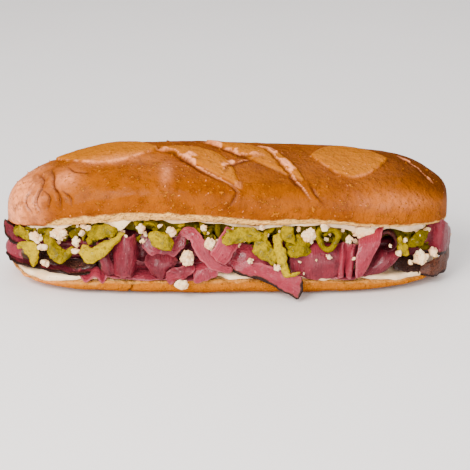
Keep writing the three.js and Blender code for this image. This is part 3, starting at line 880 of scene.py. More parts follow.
@dataclass
class Lid:
    """The upper half of the roll, with its scores, torn lips, wrinkles and pale cut edge."""

    stations: int = 360
    dome_steps: int = 188
    tuck_steps: int = 10
    face_steps: int = 28
    shoulder_share: float = 0.21
    tuck: float = 3.0
    band: tuple[tuple[float, float], ...] = (
        (-119, -1), (-97, -1), (-89, 4.4), (-58, 4.8), (0, 4.2), (30, 3.4), (60, 2.6), (80, 1.8), (118, 1.2),
    )
    scores: tuple[Score, ...] = (
        Score((-92.0, 3.0), (-37.0, -2.0), 16.0, 19.0, 1.8, 0.8),
        Score((-36.0, -2.0), (6.0, -34.0), 2.5, 14.0, 1.6),
        Score((-12.0, 7.0), (40.0, -30.0), 2.5, 12.0, 1.6),
        Score((44.0, -8.0), (85.0, -6.0), 18.0, 20.0, 1.5, 0.3),
    )
    tears: tuple[Mark, ...] = (
        Mark(((-37.4, -3.0), (-29.3, -7.3), (-19.5, -17.8), (-11.6, -24.7), (2.4, -33.3)), 3.6, 1.2),
        Mark(((-12.0, 6.0), (-2.0, -2.5), (6.8, -9.3), (17.2, -11.7)), 1.5, 0.8),
        Mark(((14.0, 3.0), (21.5, -5.0), (29.6, -19.6), (37.7, -32.0), (43.0, -42.0)), 2.6, 1.1),
        Mark(((-3.0, -27.0), (0.0, -20.0), (8.0, -14.0), (14.0, -13.0)), 2.0, 0.5),
        Mark(((92.0, 2.0), (101.0, -7.0), (108.0, -18.0)), 1.0, 0.6),
    )
    creases: tuple[Mark, ...] = (
        Mark(((0.4, -33.4), (4.6, -37.9), (3.0, -43.3), (-0.2, -50.0)), 1.1, 0.8),
        Mark(((-102.0, -9.0), (-97.2, -20.0), (-97.6, -28.2), (-100.6, -38.4), (-98.0, -49.0)), 1.2, 1.0),
        Mark(((-94.0, -8.0), (-91.4, -20.0), (-90.9, -29.0), (-88.0, -36.7), (-86.5, -50.0)), 1.4, 1.2),
        Mark(((-103.0, -26.0), (-106.4, -36.0), (-105.9, -41.1), (-102.6, -50.0)), 1.2, 1.0),
        Mark(((-97.0, -30.0), (-93.0, -38.0), (-94.5, -48.0)), 1.0, 0.7),
        Mark(((-86.0, -34.0), (-82.0, -40.0), (-81.0, -48.0)), 0.9, 0.5),
        Mark(((-84.0, -14.0), (-80.0, -20.0), (-72.0, -23.0)), 1.0, 0.5),
        Mark(((42.0, -30.0), (45.0, -38.0), (50.0, -46.0)), 1.2, 0.5),
    )

    def relief(self, x: Array, over: Array) -> tuple[Array, dict[str, Array]]:
        """Works out the crust's relief.

        Args:
            x: places along the roll.
            over: places over the crown, negative on the front.

        Returns:
            The height in millimetres, and the attributes of the leaves, the torn lips with their painted
            highlights, the painted shade in crevices, the browning with painted shade on top, and the
            painted highlights.
        """
        flat = np.stack([x, over, np.zeros(x.shape)], axis=-1)
        noise = Grain(11)
        ragged = noise.at(flat, 3.1) * 0.5 + noise.at(flat, 1.2) * 0.3
        height = np.zeros(x.shape)
        leaf = np.zeros(x.shape)
        torn = np.zeros(x.shape)
        for score in self.scores:
            depth = score.depth(x, over) + 0.04 * ragged
            height = np.maximum(height, score.rise * np.sqrt(np.clip(1.0 - depth**3, 0.0, 1.0)))
            leaf = np.maximum(leaf, 1.0 - smooth(0.86, 1.0, depth))
            # A painted highlight along the leaf's border.
            outline = score.rim * np.exp(-(((depth - 0.93) / 0.055) ** 2)) * smooth(-0.3, 0.4, ragged)
            torn = np.maximum(torn, outline)
        crevice = np.zeros(x.shape)
        for mark in self.tears:
            far, share = mark.measure(x, over)
            far = far + 0.8 * ragged
            inside = np.sin(math.pi * np.clip(share, 0.02, 0.98)) ** 0.5
            lip = smooth(-0.5, 0.2, far) * np.exp(-np.maximum(far, 0.0) / 5.0)
            groove = np.exp(-(((far + 1.0) / 0.9) ** 2))
            patchy = smooth(-0.3, 0.3, noise.at(flat, 8.5) + 0.5 * noise.at(flat, 2.6))
            height += inside * mark.depth * (lip * (0.45 + 0.75 * patchy) - 0.9 * groove)
            width = mark.width * (0.1 + 1.5 * patchy)
            # The tear's lip: paler torn crumb with a painted highlight.
            torn = np.maximum(torn, smooth(-0.4, 0.1, far) * (1.0 - smooth(0.7, 1.1, far / width)) * inside)
            # Painted shade in the groove under the lip.
            crevice = np.maximum(crevice, groove * inside * 0.9)
        for mark in self.creases:
            far, share = mark.measure(x, over)
            inside = np.sin(math.pi * np.clip(share, 0.02, 0.98)) ** 0.5
            line = np.exp(-(((far + 0.5 * ragged) / (0.5 * mark.width)) ** 2))
            pillow = np.exp(-(((np.abs(far) - 2.6) / 1.8) ** 2))
            height += inside * mark.depth * (0.32 * pillow - 1.4 * line)
            # Painted shade along the crease line.
            crevice = np.maximum(crevice, line * inside)
        height += 0.55 * noise.layered(flat + 40.0, 21.0, 2) + 0.12 * noise.layered(flat, 4.0, 2)
        left = smooth(-78.0, -104.0, x)
        pucker = Grain(12)
        folds = pucker.at(flat * np.array([1.0, 0.3, 1.0]), 4.2)
        folds = folds + 0.6 * pucker.at(flat * np.array([1.0, 0.5, 1.0]), 1.9)
        height += left * 0.36 * folds
        # Painted shade in the troughs of the wrinkles.
        crevice = np.maximum(crevice, 0.4 * left * smooth(-0.35, -0.85, folds))
        fields = {
            "leaf": leaf,
            "torn": torn,
            "crevice": np.clip(crevice, 0.0, 1.0),
            "baked": self.baked(x, over),
            "sheen": self.sheen(x, over),
        }
        return height, fields

    @staticmethod
    def baked(x: Array, over: Array) -> Array:
        """Works out how dark the crust is: browner in the middle and at the right, with painted shade along
        the top of the crown.

        Args:
            x: places along the roll.
            over: places over the crown.

        Returns:
            The shares of darkening there.
        """
        middle = 0.75 * hump(x, 28.0, 26.0) * hump(over, -22.0, 20.0)
        right = smooth(58.0, 100.0, x) * smooth(-40.0, -18.0, over)
        # The last term is painted shade along the top of the crown.
        return np.clip(middle + right + 0.3 * smooth(-12.0, 5.0, over), 0.0, 1.0)

    @staticmethod
    def sheen(x: Array, over: Array) -> Array:
        """Works out where a highlight is painted into the crust's colour, where the glaze would catch the
        light.

        Args:
            x: places along the roll.
            over: places over the crown.

        Returns:
            The shares of painted highlight there.
        """
        # Painted highlights: soft spots over the front and a wash over the left end.
        spots = (
            (-86, -25, 8, 9, 0.6), (-32, -27, 3, 8, 0.45), (88, -40, 24, 7, 0.3), (-60, -13, 20, 4, 0.3),
        )
        blobs = [share * hump(x, a, wide) * hump(over, b, tall) for a, b, wide, tall, share in spots]
        end = smooth(-88.0, -114.0, x) * (0.3 + 0.7 * smooth(32.0, -22.0, over))
        return np.clip(np.maximum.reduce([end, *blobs]), 0.0, 1.0)

    @staticmethod
    def hang(x: Array) -> Array:
        """How far a soft fringe of crumb hangs below the cut face along its rim."""
        return 0.7 + 4.0 * hump(x, -58.0, 25.0)

    def skin(self) -> Skin:
        """Builds the lid's skin.

        Returns:
            The closed skin, with the attributes of its leaves, tears, painted highlights, painted shade and
            crumb.
        """
        x = LID_PLAN.stations(self.stations, CROWDING)[:, None]
        width = LID_PLAN.half_width(x)
        cut = lid_cut_at(x)
        rise = crown_at(x) - cut
        shoulder = self.shoulder_share * rise
        tuck = self.tuck * width / HALF_WIDTH
        angle = np.linspace(0.0, math.pi, self.dome_steps + 1)[None, :]
        dome_y = -width * np.cos(angle)
        settled = 2.0 * hump(x, 111.0, 9.0)
        dome_z = cut + shoulder + (rise - shoulder - settled) * np.maximum(np.sin(angle), 0.0) ** 0.9
        hang = self.hang(x) * width / HALF_WIDTH
        down = np.linspace(0.0, 1.0, self.tuck_steps + 1)[None, 1:]
        side_y = width - tuck * down**2.4
        side_z = cut + shoulder - (shoulder + hang) * down
        across = np.sin(np.linspace(math.pi / 2.0, -math.pi / 2.0, self.face_steps + 1))[None, 1:-1]
        face_y = across * (width - tuck)
        face_z = cut - hang * smooth(0.84, 0.99, np.abs(across))
        y = np.hstack([dome_y, side_y, face_y, -side_y[:, ::-1]])
        z = np.hstack([dome_z, side_z, face_z, side_z[:, ::-1]])
        wide_x = x + 0.0 * y
        rings = np.stack([wide_x, y, z], axis=-1)
        normals = ring_normals(rings)
        over = np.full(y.shape, CROWN_RADIUS * math.pi / 2.0)
        over[:, : self.dome_steps + 1] = CROWN_RADIUS * (angle - math.pi / 2.0)
        over[:, -self.tuck_steps :] *= -1.0
        height, fields = self.relief(wide_x, over)
        on_face = np.zeros(y.shape)
        on_face[:, self.dome_steps + self.tuck_steps + 1 : -self.tuck_steps] = 1.0
        porous = Grain(13).layered(rings, 2.4, 3) * 0.35
        end_share = smooth(0.0, 14.0, np.minimum(wide_x + LID_PLAN.left, LID_PLAN.right - wide_x))
        rings = rings + normals * (height * (1.0 - on_face) * end_share + porous * on_face)[..., None]
        above = z - cut + hang
        ragged = Grain(14).layered(rings, 3.4, 3)
        band_x, band_tall = np.array(self.band).T
        tall = np.interp(wide_x, band_x, band_tall) + 0.6 * ragged
        pale = (1.0 - smooth(-0.7, 0.5, above - tall)) * smooth(0.2, 1.0, tall)
        fields = {name: values * (1.0 - on_face) for name, values in fields.items()}
        fields["pale"] = pale * (1.0 - on_face)
        fields["crumb"] = on_face
        pocked = Grain(15).at(rings, 1.6)
        rings = rings - normals * (fields["pale"] * (0.25 + 0.35 * pocked))[..., None]
        return Skin.lofted(rings, fields)


@dataclass
class Base:
    """The lower half of the roll, with its flat foot, rounded belly and torn upper edge."""

    stations: int = 330
    belly_steps: int = 26
    lip_steps: int = 14
    face_steps: int = 36
    foot_steps: int = 18
    foot_share: float = 0.7
    belly_share: float = 0.6
    crack: tuple[tuple[float, float], ...] = ((-47.6, 16.0), (-48.8, 12.0), (-50.0, 10.5), (-51.5, 6.0))

    def skin(self) -> Skin:
        """Builds the base's skin.

        Returns:
            The closed skin, with the attributes of its crust, its crack with painted shade, a painted
            highlight at the left end and its crumb.
        """
        x = BASE_PLAN.stations(self.stations, CROWDING)[:, None]
        width = BASE_PLAN.half_width(x)
        low = foot_at(x)
        cut = base_cut_at(x)
        belly = low + (cut - low) * self.belly_share
        foot = width * self.foot_share
        edge = width * EDGE_SHARE
        turn = np.linspace(0.0, math.pi / 2.0, self.belly_steps + 1)[None, :]
        side_y = foot + (width - foot) * np.sin(turn)
        side_z = low + (belly - low) * (1.0 - np.cos(turn))
        turn = np.linspace(0.0, math.pi / 2.0, self.lip_steps + 1)[None, 1:-1]
        lip_y = edge + (width - edge) * np.cos(turn)
        lip_z = belly + (cut - belly) * np.sin(turn)
        across = np.linspace(1.0, -1.0, self.face_steps + 1)[None, :]
        face_y = across * edge
        under = np.linspace(-1.0, 1.0, self.foot_steps + 1)[None, 1:-1]
        half_y = np.hstack([side_y, lip_y])
        half_z = np.hstack([side_z, lip_z])
        y = np.hstack([half_y, face_y, -half_y[:, ::-1], under * foot])
        z = np.hstack([half_z, cut + 0.0 * face_y, half_z[:, ::-1], low + 0.0 * under])
        wide_x = x + 0.0 * y
        rings = np.stack([wide_x, y, z], axis=-1)
        normals = ring_normals(rings)
        noise = Grain(21)
        start = half_y.shape[1]
        on_face = np.zeros(y.shape)
        on_face[:, start + 1 : start + self.face_steps] = 1.0
        on_foot = np.zeros(y.shape)
        on_foot[:, -(self.foot_steps - 1) :] = 1.0
        high = smooth(-3.4, -0.4, z - cut)
        bulge = 0.35 * noise.layered(rings, 13.0, 2) + 0.1 * noise.layered(rings, 3.0, 2)
        torn_edge = 0.55 * high * noise.layered(rings + 9.0, 3.6, 2)
        crumb = 0.3 * noise.layered(rings, 2.2, 2)
        crack_x = np.interp(z, [p[1] for p in self.crack[::-1]], [p[0] for p in self.crack[::-1]])
        crack = hump(wide_x + 0.8 * noise.at(rings, 1.6), crack_x, 0.7) * (y < 0) * (1.0 - on_foot)
        end_share = smooth(0.0, 10.0, np.minimum(wide_x + BASE_PLAN.left, BASE_PLAN.right - wide_x))
        height = (bulge + torn_edge) * (1.0 - on_face) + crumb * on_face - 0.8 * crack * (1.0 - on_face)
        rings = rings + normals * (height * end_share * (1.0 - on_foot))[..., None]
        rings[..., 2] = np.maximum(rings[..., 2], low)
        thin = 0.9 + 0.8 * noise.layered(rings, 5.0, 2)
        pale = smooth(-0.6, 0.5, z - cut + thin) * (1.0 - on_face) * 0.3
        zero = np.zeros(y.shape)
        fields = {
            "leaf": (0.35 + 0.5 * smooth(-6.5, -2.0, z - cut)) * (1.0 - on_face),
            "torn": zero,
            # Painted shade in the crack.
            "crevice": crack * (1.0 - on_face),
            "pale": pale,
            "crumb": on_face,
            # Darker towards the foot.
            "baked": 0.5 * smooth(9.0, 5.0, z),
            # A painted highlight over the left end.
            "sheen": 0.35 * smooth(-80.0, -108.0, wide_x) * (1.0 - on_face),
        }
        return Skin.lofted(rings, fields)


# Filling

class Edge(Enum):
    """The edges of a slice, in the order that its route and its width run."""

    LOW = "low"
    HIGH = "high"
    START = "start"
    END = "end"


@dataclass(frozen=True)
class Kind:
    """How a kind of strip is cut, with the unevenness of its edges and faces, in millimetres."""

    thickness: float
    ragged: float
    swell: float
    swell_size: float
    lump: float
    lump_size: float
    squareness: float
    steps: tuple[int, int] = (110, 44)


MEAT = Kind(MEAT_THICKNESS, 0.55, 0.6, 8.0, 0.1, 1.6, 5.0)
PEPPER = Kind(PEPPER_THICKNESS, 0.8, 0.7, 5.5, 0.42, 2.1, 2.6)


@dataclass(frozen=True)
class Strip:
    """A slice or strip swept along a route of places in the filling."""

    route: tuple[Place, ...]
    across: tuple[float, float, float]
    width: tuple[float, ...]
    tone: float
    cup: float = 0.0
    ruffle: float = 0.0
    bark: tuple[Edge, ...] = ()
    smoked: float = 0.0
    crosswise: bool = False

    def centre_line(self, share: Array) -> Array:
        """Points along the middle of the strip."""
        return catmull_rom(placed(self.route), share)


@dataclass(frozen=True)
class Rolled:
    """A slice rolled into an open tube that points at the front."""

    at: Place
    radius: float
    turn: tuple[float, float]
    depth: float
    across: tuple[float, float, float]
    tone: float
    cup: float = 0.0
    ruffle: float = 0.3
    bark: tuple[Edge, ...] = ()
    smoked: float = 0.0
    crosswise: bool = True

    @property
    def width(self) -> tuple[float, ...]:
        """The slice's width, which is the tube's depth."""
        return (self.depth,)

    def centre_line(self, share: Array) -> Array:
        """Winds the middle of the tube.

        Args:
            share: how far round it each sample lies, from 0 to 1.

        Returns:
            One point for each sample.
        """
        axis = np.array(self.across) / np.linalg.norm(self.across)
        side = np.array([1.0, 0.0, 0.0]) - axis * axis[0]
        side /= np.linalg.norm(side)
        up = np.cross(side, axis)
        up *= np.sign(up[2])
        angle = np.radians(self.turn[0] + (self.turn[1] - self.turn[0]) * share)[:, None]
        spiral = (self.radius * (1.0 - 0.12 * share))[:, None]
        centre = placed([self.at])[0] + axis * self.depth / 2.0
        return centre + spiral * (side * np.cos(angle) + up * np.sin(angle))


def swept(strip: Union[Strip, Rolled], kind: Kind, seed: int, behind: float = 0.0) -> Skin:
    """Builds a slice or strip with rounded, uneven edges.

    Args:
        strip: its route, width and looks.
        kind: how it is cut.
        seed: picks its unevenness.
        behind: how far it is moved towards the back, for a slice under another.

    Returns:
        Its closed skin.
    """
    noise = Grain(seed)
    rows, around = kind.steps
    share = (crowded(rows, 1.6) + 1.0) / 2.0
    centre = strip.centre_line(share)
    wide = np.array(strip.across) / np.linalg.norm(strip.across)
    tangent = np.gradient(centre, share, axis=0)
    tangent /= np.linalg.norm(tangent, axis=1, keepdims=True)
    normal = np.cross(tangent, wide)
    normal /= np.linalg.norm(normal, axis=1, keepdims=True)
    if normal[:, 1].sum() > 0 and not isinstance(strip, Rolled):
        normal = -normal
    length_at = np.concatenate([[0.0], np.cumsum(np.linalg.norm(np.diff(centre, axis=0), axis=1))])
    length = length_at[-1]
    phase = FULL_TURN * abs(noise.lattice[0, 0, 0])
    angle = FULL_TURN * (np.arange(around) + 0.5) / around
    k = np.cos(angle)[None, :]
    lengthwise = length_at[:, None]
    width = through(strip.width, share)[:, None]
    side_seed = np.where(k < 0, 50.0, 0.0)
    zero = 0.0 * lengthwise + 0.0 * k
    border = np.stack([lengthwise + side_seed, side_seed + zero, zero], axis=-1)
    uneven = kind.ragged * noise.layered(border, 3.6, 3)
    near_end = np.minimum(lengthwise, length - lengthwise)
    corner = min(3.0, 0.35 * length)
    square = 1.0 - np.clip(1.0 - near_end / corner, 0.0, 1.0) ** 2.6
    half = (width / 2.0 + uneven) * square ** (1.0 / 2.6)
    blunt = np.sqrt(1.0 - np.clip(1.0 - near_end / kind.thickness, 0.0, 1.0) ** 2)
    profile = np.sqrt(np.clip(1.0 - np.abs(k) ** kind.squareness, 0.0, 1.0))
    profile = profile * np.sign(np.sin(angle))[None, :]
    thick = kind.thickness / 2.0 * blunt * (1.0 - 0.3 * np.abs(k) ** 3)
    wave = strip.ruffle * np.sin(FULL_TURN * 2.5 * share[:, None] + phase + 1.7 * k) * k * k
    bow = strip.cup * (1.0 / 3.0 - k * k) + wave
    middle = centre[:, None, :] + wide * (k * half)[..., None]
    over = k * half
    end_wave = kind.ragged * noise.at(np.stack([over, zero, zero + 30.0], axis=-1), 2.5)
    outer = (smooth(0.75, 1.0, share) - smooth(0.25, 0.0, share))[:, None]
    middle = middle + tangent[:, None, :] * (end_wave * outer * 1.5)[..., None]
    swell = kind.swell * noise.layered(middle, kind.swell_size, 2)
    rings = middle + normal[:, None, :] * (bow + swell + profile * thick - behind)[..., None]
    rings = rings + ring_normals(rings) * (kind.lump * noise.layered(rings, kind.lump_size, 2))[..., None]
    inward = np.minimum(half * (1.0 - np.abs(k)), near_end)
    distance = {
        Edge.LOW: half * (1.0 + k),
        Edge.HIGH: half * (1.0 - k),
        Edge.START: lengthwise + zero,
        Edge.END: length - lengthwise + zero,
    }
    bark = np.full(half.shape, strip.smoked)
    depth = 1.7 + 0.9 * noise.layered(middle, 3.0, 2)
    for edge in strip.bark:
        bark = np.maximum(bark, 1.0 - smooth(0.3, 1.3, distance[edge] / np.maximum(depth, 0.3)))
    grain = [over, lengthwise + zero] if strip.crosswise else [lengthwise + zero, over]
    fields = {
        "rim": 1.0 - smooth(0.2, 1.3, inward),
        "bark": bark,
        "tone": np.full(half.shape, strip.tone),
        "grain": np.stack([*grain, zero + 7.0 * seed], axis=-1),
    }
    return Skin.lofted(rings, fields)


BEEF: dict[str, Union[Strip, Rolled]] = {
    "long_flap": Strip(
        ((-3, 21.5, -4), (9, 20.5, 1.5), (21, 18, 4.5), (31, 14.2, 7), (39.5, 11, 9)),
        (0.2, 0.3, 0.93), (7, 9, 13), 0.12, bark=(Edge.LOW, Edge.END),
    ),
    "square_flap": Strip(
        ((4, 39, -4), (-0.5, 33.5, 3.5), (-3, 29.5, 5), (-5.5, 25.5, 5.5)),
        (0.75, 0, -0.66), (11,), 0.0,
    ),
    "ribbon": Strip(
        ((-23, 40, -4), (-16.5, 36.5, 0), (-11.5, 28.5, 2.5), (-6, 22.5, 3.5), (2, 18.5, 2)),
        (0.75, 0.3, 0.6), (7, 7.5, 5), 0.12,
    ),
    "tongue": Strip(
        ((-12, 23.5, -8), (-11.5, 21, 0.5), (-11, 17.5, 3), (-10.5, 14, 4)),
        (0.9, 0, 0.42), (15,), 0.25,
    ),
    "mound": Strip(
        ((-35, 26, -10), (-35, 26.8, -2), (-35, 21.5, 3.5), (-35, 14.5, 2.5)),
        (1, 0, 0.05), (13, 18, 8), 0.6, cup=3.0,
    ),
    "crinkle": Strip(
        ((-32, 13.5, 3.5), (-28, 17.5, 4.5), (-23, 19, 3.5), (-17.5, 22.5, 0)),
        (-0.6, 0.1, 0.8), (5, 8, 6), 0.4, ruffle=1.2,
    ),
    "tall_fold": Strip(
        ((-60, 24, -9), (-58.5, 25.5, -1), (-54, 26.5, 3.5), (-49.5, 26, 1), (-47.5, 25, -8)),
        (0.05, 0.26, 0.96), (22,), 0.5, cup=1.0, bark=(Edge.START,), crosswise=True,
    ),
    "low_fold": Strip(
        ((-79, 17, -2), (-74, 13.5, 1.5), (-69, 16.5, 2), (-65, 13.5, 1), (-62.5, 17, -2)),
        (0.1, 0.85, 0.5), (7.5,), 0.35,
    ),
    "brown_fold": Strip(
        ((-67, 31, -4), (-65, 24, 1), (-63.5, 18, 2), (-62, 15, 1)),
        (0.95, -0.1, -0.2), (8,), 0.6, cup=1.5, bark=(Edge.LOW,),
    ),
    "bowl": Strip(
        ((-46, 35, -6), (-40, 31, -2.5), (-30, 29.5, -2), (-21, 36, -5)),
        (0, 0.5, 0.86), (10,), 0.45, bark=(Edge.START,),
    ),
    "dark_layer": Strip(
        ((-101, 20, -4.5), (-91, 18.5, -4), (-80, 17.5, -3.5), (-69, 20.5, -6)),
        (0, 0.75, 0.66), (8,), 0.95, smoked=0.55, bark=(Edge.HIGH,),
    ),
    "purple_layer": Strip(
        ((-103, 17, -2.8), (-92, 15.7, -1.5), (-80, 15.9, -1.2), (-69, 17.2, -3)),
        (0, 0.95, 0.3), (9,), 0.8, bark=(Edge.LOW,),
    ),
    "left_tip": Strip(
        ((-120.5, 34, 3), (-117, 31, 2), (-111, 28, -1), (-103, 25, -7)),
        (0.4, 0.8, 0.45), (4, 9, 9), 0.6, bark=(Edge.LOW, Edge.HIGH, Edge.START),
    ),
    "left_end": Strip(
        ((-113, 27.5, -1), (-116, 21, 2), (-114, 14.5, 0.5)),
        (0.75, -0.65, 0), (13,), 0.35, cup=1.5,
    ),
    "left_rim": Strip(
        ((-119, 19, 3), (-112, 17, 3), (-104, 15.5, 0), (-94, 15, -5)),
        (0.3, 0.93, 0.15), (8,), 0.8, bark=(Edge.LOW, Edge.HIGH, Edge.START),
    ),
    "row": Strip(
        ((0, 28, -6), (8, 27.5, -2), (17, 26.5, -2), (26, 23.5, -6)),
        (0, 0.55, 0.83), (11,), 0.3,
    ),
    "speckled": Strip(
        ((45.5, 32, -9), (45.5, 29.5, -2), (46, 22.5, 1.5), (47, 14.5, 1.5)),
        (1, 0, 0), (27,), 0.5, cup=1.5,
    ),
    "pleats": Strip(
        ((57.5, 24, -6), (60, 24.5, 1), (62.5, 24, -1), (65, 24, 2.5), (67.5, 24, -6)),
        (0.1, 0.15, 0.98), (15, 19, 16, 19, 15), 0.3, ruffle=1.0, crosswise=True,
    ),
    "wedge": Strip(
        ((76, 38.5, -5), (74.5, 34, 1.5), (72, 26, 4.5), (69.5, 15.5, 3.5)),
        (0.9, 0.2, 0.35), (15, 13, 4), 0.05,
    ),
    "drape": Strip(
        ((84, 27.5, -9), (83.5, 25.5, -1), (81, 20.5, 2), (77, 15, 1)),
        (0.95, 0, 0.2), (15,), 0.65, cup=1.5,
    ),
    "dark_heel": Strip(
        ((88, 18.5, -5), (96, 17, -5), (104, 14.5, -4)),
        (0, 0.6, 0.8), (9,), 0.95, smoked=0.6,
    ),
    "right_end": Strip(
        ((103, 29, -9), (109, 29.6, -4), (113.5, 29.8, 2.5), (118, 27.2, 3), (120.5, 25.6, 4)),
        (0.05, 0.1, 0.99), (17, 20, 11), 0.5, crosswise=True, bark=(Edge.LOW,),
    ),
    "bark": Strip(
        ((102, 12.5, -3), (109, 13.5, 1), (115.5, 15, 2.5), (120.5, 18, 3)),
        (0, 0.2, 0.98), (5, 11, 13.5), 1.0, ruffle=0.8, smoked=0.42, bark=(Edge.END, Edge.LOW),
    ),
    "roll": Rolled((83.5, 33, 1.5), 5.0, (-110, 205), 14.0, (0.1, 0.97, -0.1), 1.0),
}

LOW_SLICES: tuple[Strip, ...] = (
    Strip(
        (
            (-73, 15.5, -4), (-62, 15, -2.2), (-48, 15.2, -1.8),
            (-34, 15, -1.6), (-22, 15.3, -2), (-9, 15.6, -4),
        ),
        (0, -0.93, -0.36), (7, 9.5, 8.5, 9.5, 7), 0.5, ruffle=0.5,
    ),
    Strip(
        ((-66, 19, -5), (-50, 19.5, -3), (-36, 19, -3.5), (-20, 19.5, -3), (-4, 19, -5)),
        (0, -0.5, 0.85), (8,), 0.75, ruffle=0.8,
    ),
    Strip(
        ((50, 15.6, -4), (57, 15.2, -2), (65, 15, -1.8), (73, 15.2, -4)),
        (0, -0.93, -0.36), (7, 9, 7), 0.5, ruffle=0.5,
    ),
)

PEPPERS: dict[str, Strip] = {
    "bright_left": Strip(
        ((-111, 25, 1), (-106, 27.5, 4), (-103, 23.5, 4.5), (-102.5, 16.5, 3)),
        (0.55, -0.4, 0.6), (8, 10, 8), 0.05, cup=1.0,
    ),
    "far_left": Strip(
        ((-114, 31.5, -1), (-109, 33, 1), (-104.5, 29.5, 0)),
        (0, 0.5, 0.8), (6,), 0.45, ruffle=0.8,
    ),
    "hook": Strip(
        ((-95, 36, -3), (-94, 30.8, 0), (-90, 25.5, 1), (-85.5, 23, 1), (-83, 28, 0)),
        (0.7, 0.5, 0.5), (6, 8, 7), 0.5,
    ),
    "upper_left": Strip(
        ((-73, 36.5, -2), (-65, 39, 0), (-57, 39, -1)),
        (0, 0.6, 0.8), (6, 8, 7), 0.5, ruffle=1.0,
    ),
    "lobe": Strip(
        ((-77, 27, 2), (-72, 26.5, 4), (-66, 29, 3), (-60, 33.5, 2), (-54, 37.5, -1)),
        (0, 0.4, 0.9), (8, 9, 3.5), 0.05, cup=1.2,
    ),
    "wide": Strip(
        ((-35, 41, 1.5), (-34.5, 36.5, 3), (-33.5, 30.5, 3.5)),
        (0.95, 0, -0.25), (8, 14, 10), 0.3, cup=1.0,
    ),
    "long": Strip(
        ((-2, 37.5, 3), (7, 38.5, 2.5), (17, 38.5, 0)),
        (0.15, 0.4, 0.9), (9, 8, 7), 0.4, ruffle=1.2,
    ),
    "curl": Strip(
        ((18, 38.5, -2), (17.5, 33, 1), (21, 28, 2.5), (27, 24, 3.5)),
        (0.8, 0.3, 0.5), (9, 9, 6), 0.35, ruffle=1.0,
    ),
    "strand": Strip(
        ((26, 38.5, -2), (27, 31, 2), (29, 24.5, 5), (32, 18.5, 7), (37, 20, 8)),
        (0.85, 0.1, 0.5), (5.5, 5, 4), 0.12,
    ),
    "sliver": Strip(
        ((29, 42, -2), (31.5, 38.5, 0.5), (35.5, 33.5, 2)),
        (0.85, 0.1, 0.5), (6, 7, 3), 0.45,
    ),
    "right_lobe": Strip(
        ((31, 29.5, -1), (37, 32.5, 0.5), (44, 31, -1)),
        (0, 0.5, 0.87), (9, 11, 9), 0.55, ruffle=1.0,
    ),
    "curved_right": Strip(
        ((90, 35, -2), (91.5, 30, 1), (96, 23.5, 1.5)),
        (0.85, 0.2, 0.45), (4, 5, 3), 0.3,
    ),
    "leaf_right": Strip(
        ((95, 29.5, -1), (100, 32, 1), (106, 34.5, -1)),
        (-0.4, 0.2, 0.9), (4, 7, 4), 0.8,
    ),
}


@dataclass(frozen=True)
class Lump:
    """A broken lump of cheese, made of many small curds that stick together."""

    at: Place
    size: tuple[float, float, float]
    seed: int
    curds: int = 26

    def skin(self) -> Skin:
        """Builds the lump.

        Returns:
            Its curds, as one skin of overlapping grains.
        """
        draw = np.random.default_rng(self.seed)
        centre = placed([self.at])[0]
        skins = [pebble(centre, np.array(self.size) * 0.47, self.seed, 5)]
        for k in range(self.curds):
            way = draw.normal(size=3)
            way /= np.linalg.norm(way)
            reach = 0.4 * np.array(self.size) * way
            size = min(self.size) * draw.uniform(0.08, 0.2) * draw.uniform(0.7, 1.3, 3)
            skins.append(pebble(centre + reach, size, self.seed * 100 + k, 2))
        return Skin.joined(skins)


def pebble(centre: Array, radii: Array, seed: int, level: int) -> Skin:
    """A broken grain of cheese with blunt corners.

    Args:
        centre: its middle.
        radii: half its size along each axis.
        seed: picks its shape and how it is turned.
        level: how finely it is divided.

    Returns:
        Its closed skin.
    """
    rows, around = 6 * level, 8 * level
    up = np.linspace(0.0, math.pi, rows + 1)[1:-1][:, None]
    turn = np.linspace(0.0, FULL_TURN, around, endpoint=False)[None, :]
    ball = [np.sin(up) * np.cos(turn), np.sin(up) * np.sin(turn), np.cos(up) + 0.0 * turn]
    ball = np.stack(ball, axis=-1)
    sides = ball @ np.linalg.qr(np.random.default_rng(seed).normal(size=(3, 3)))[0]
    blunt = np.max(np.abs(sides), axis=-1, keepdims=True) ** -0.65 * 0.8
    rough = 1.0 + 0.2 * Grain(seed).layered(ball * 2.0, 1.3, 3)
    rings = centre + ball * blunt * radii * rough[..., None]
    return Skin.lofted(rings, {"tone": np.zeros(rings.shape[:2])})


LUMPS: dict[str, Lump] = {
    "under_lid": Lump((-89, 34.5, -3), (10, 8, 7), 3),
    "middle": Lump((-21, 26, 2), (7.5, 7, 8.5), 5),
    "high": Lump((43, 37, -2.5), (8, 8, 8), 8),
    "right": Lump((102.5, 21.5, 1), (8, 7, 9), 13),
    "low": Lump((-24, 12.5, 5.5), (8, 5, 5.5), 21),
    "cream": Lump((71.5, 37.5, -4), (14, 6, 8), 34),
    "by_flap": Lump((-9, 33.5, 1.5), (6.5, 6, 7), 55),
}

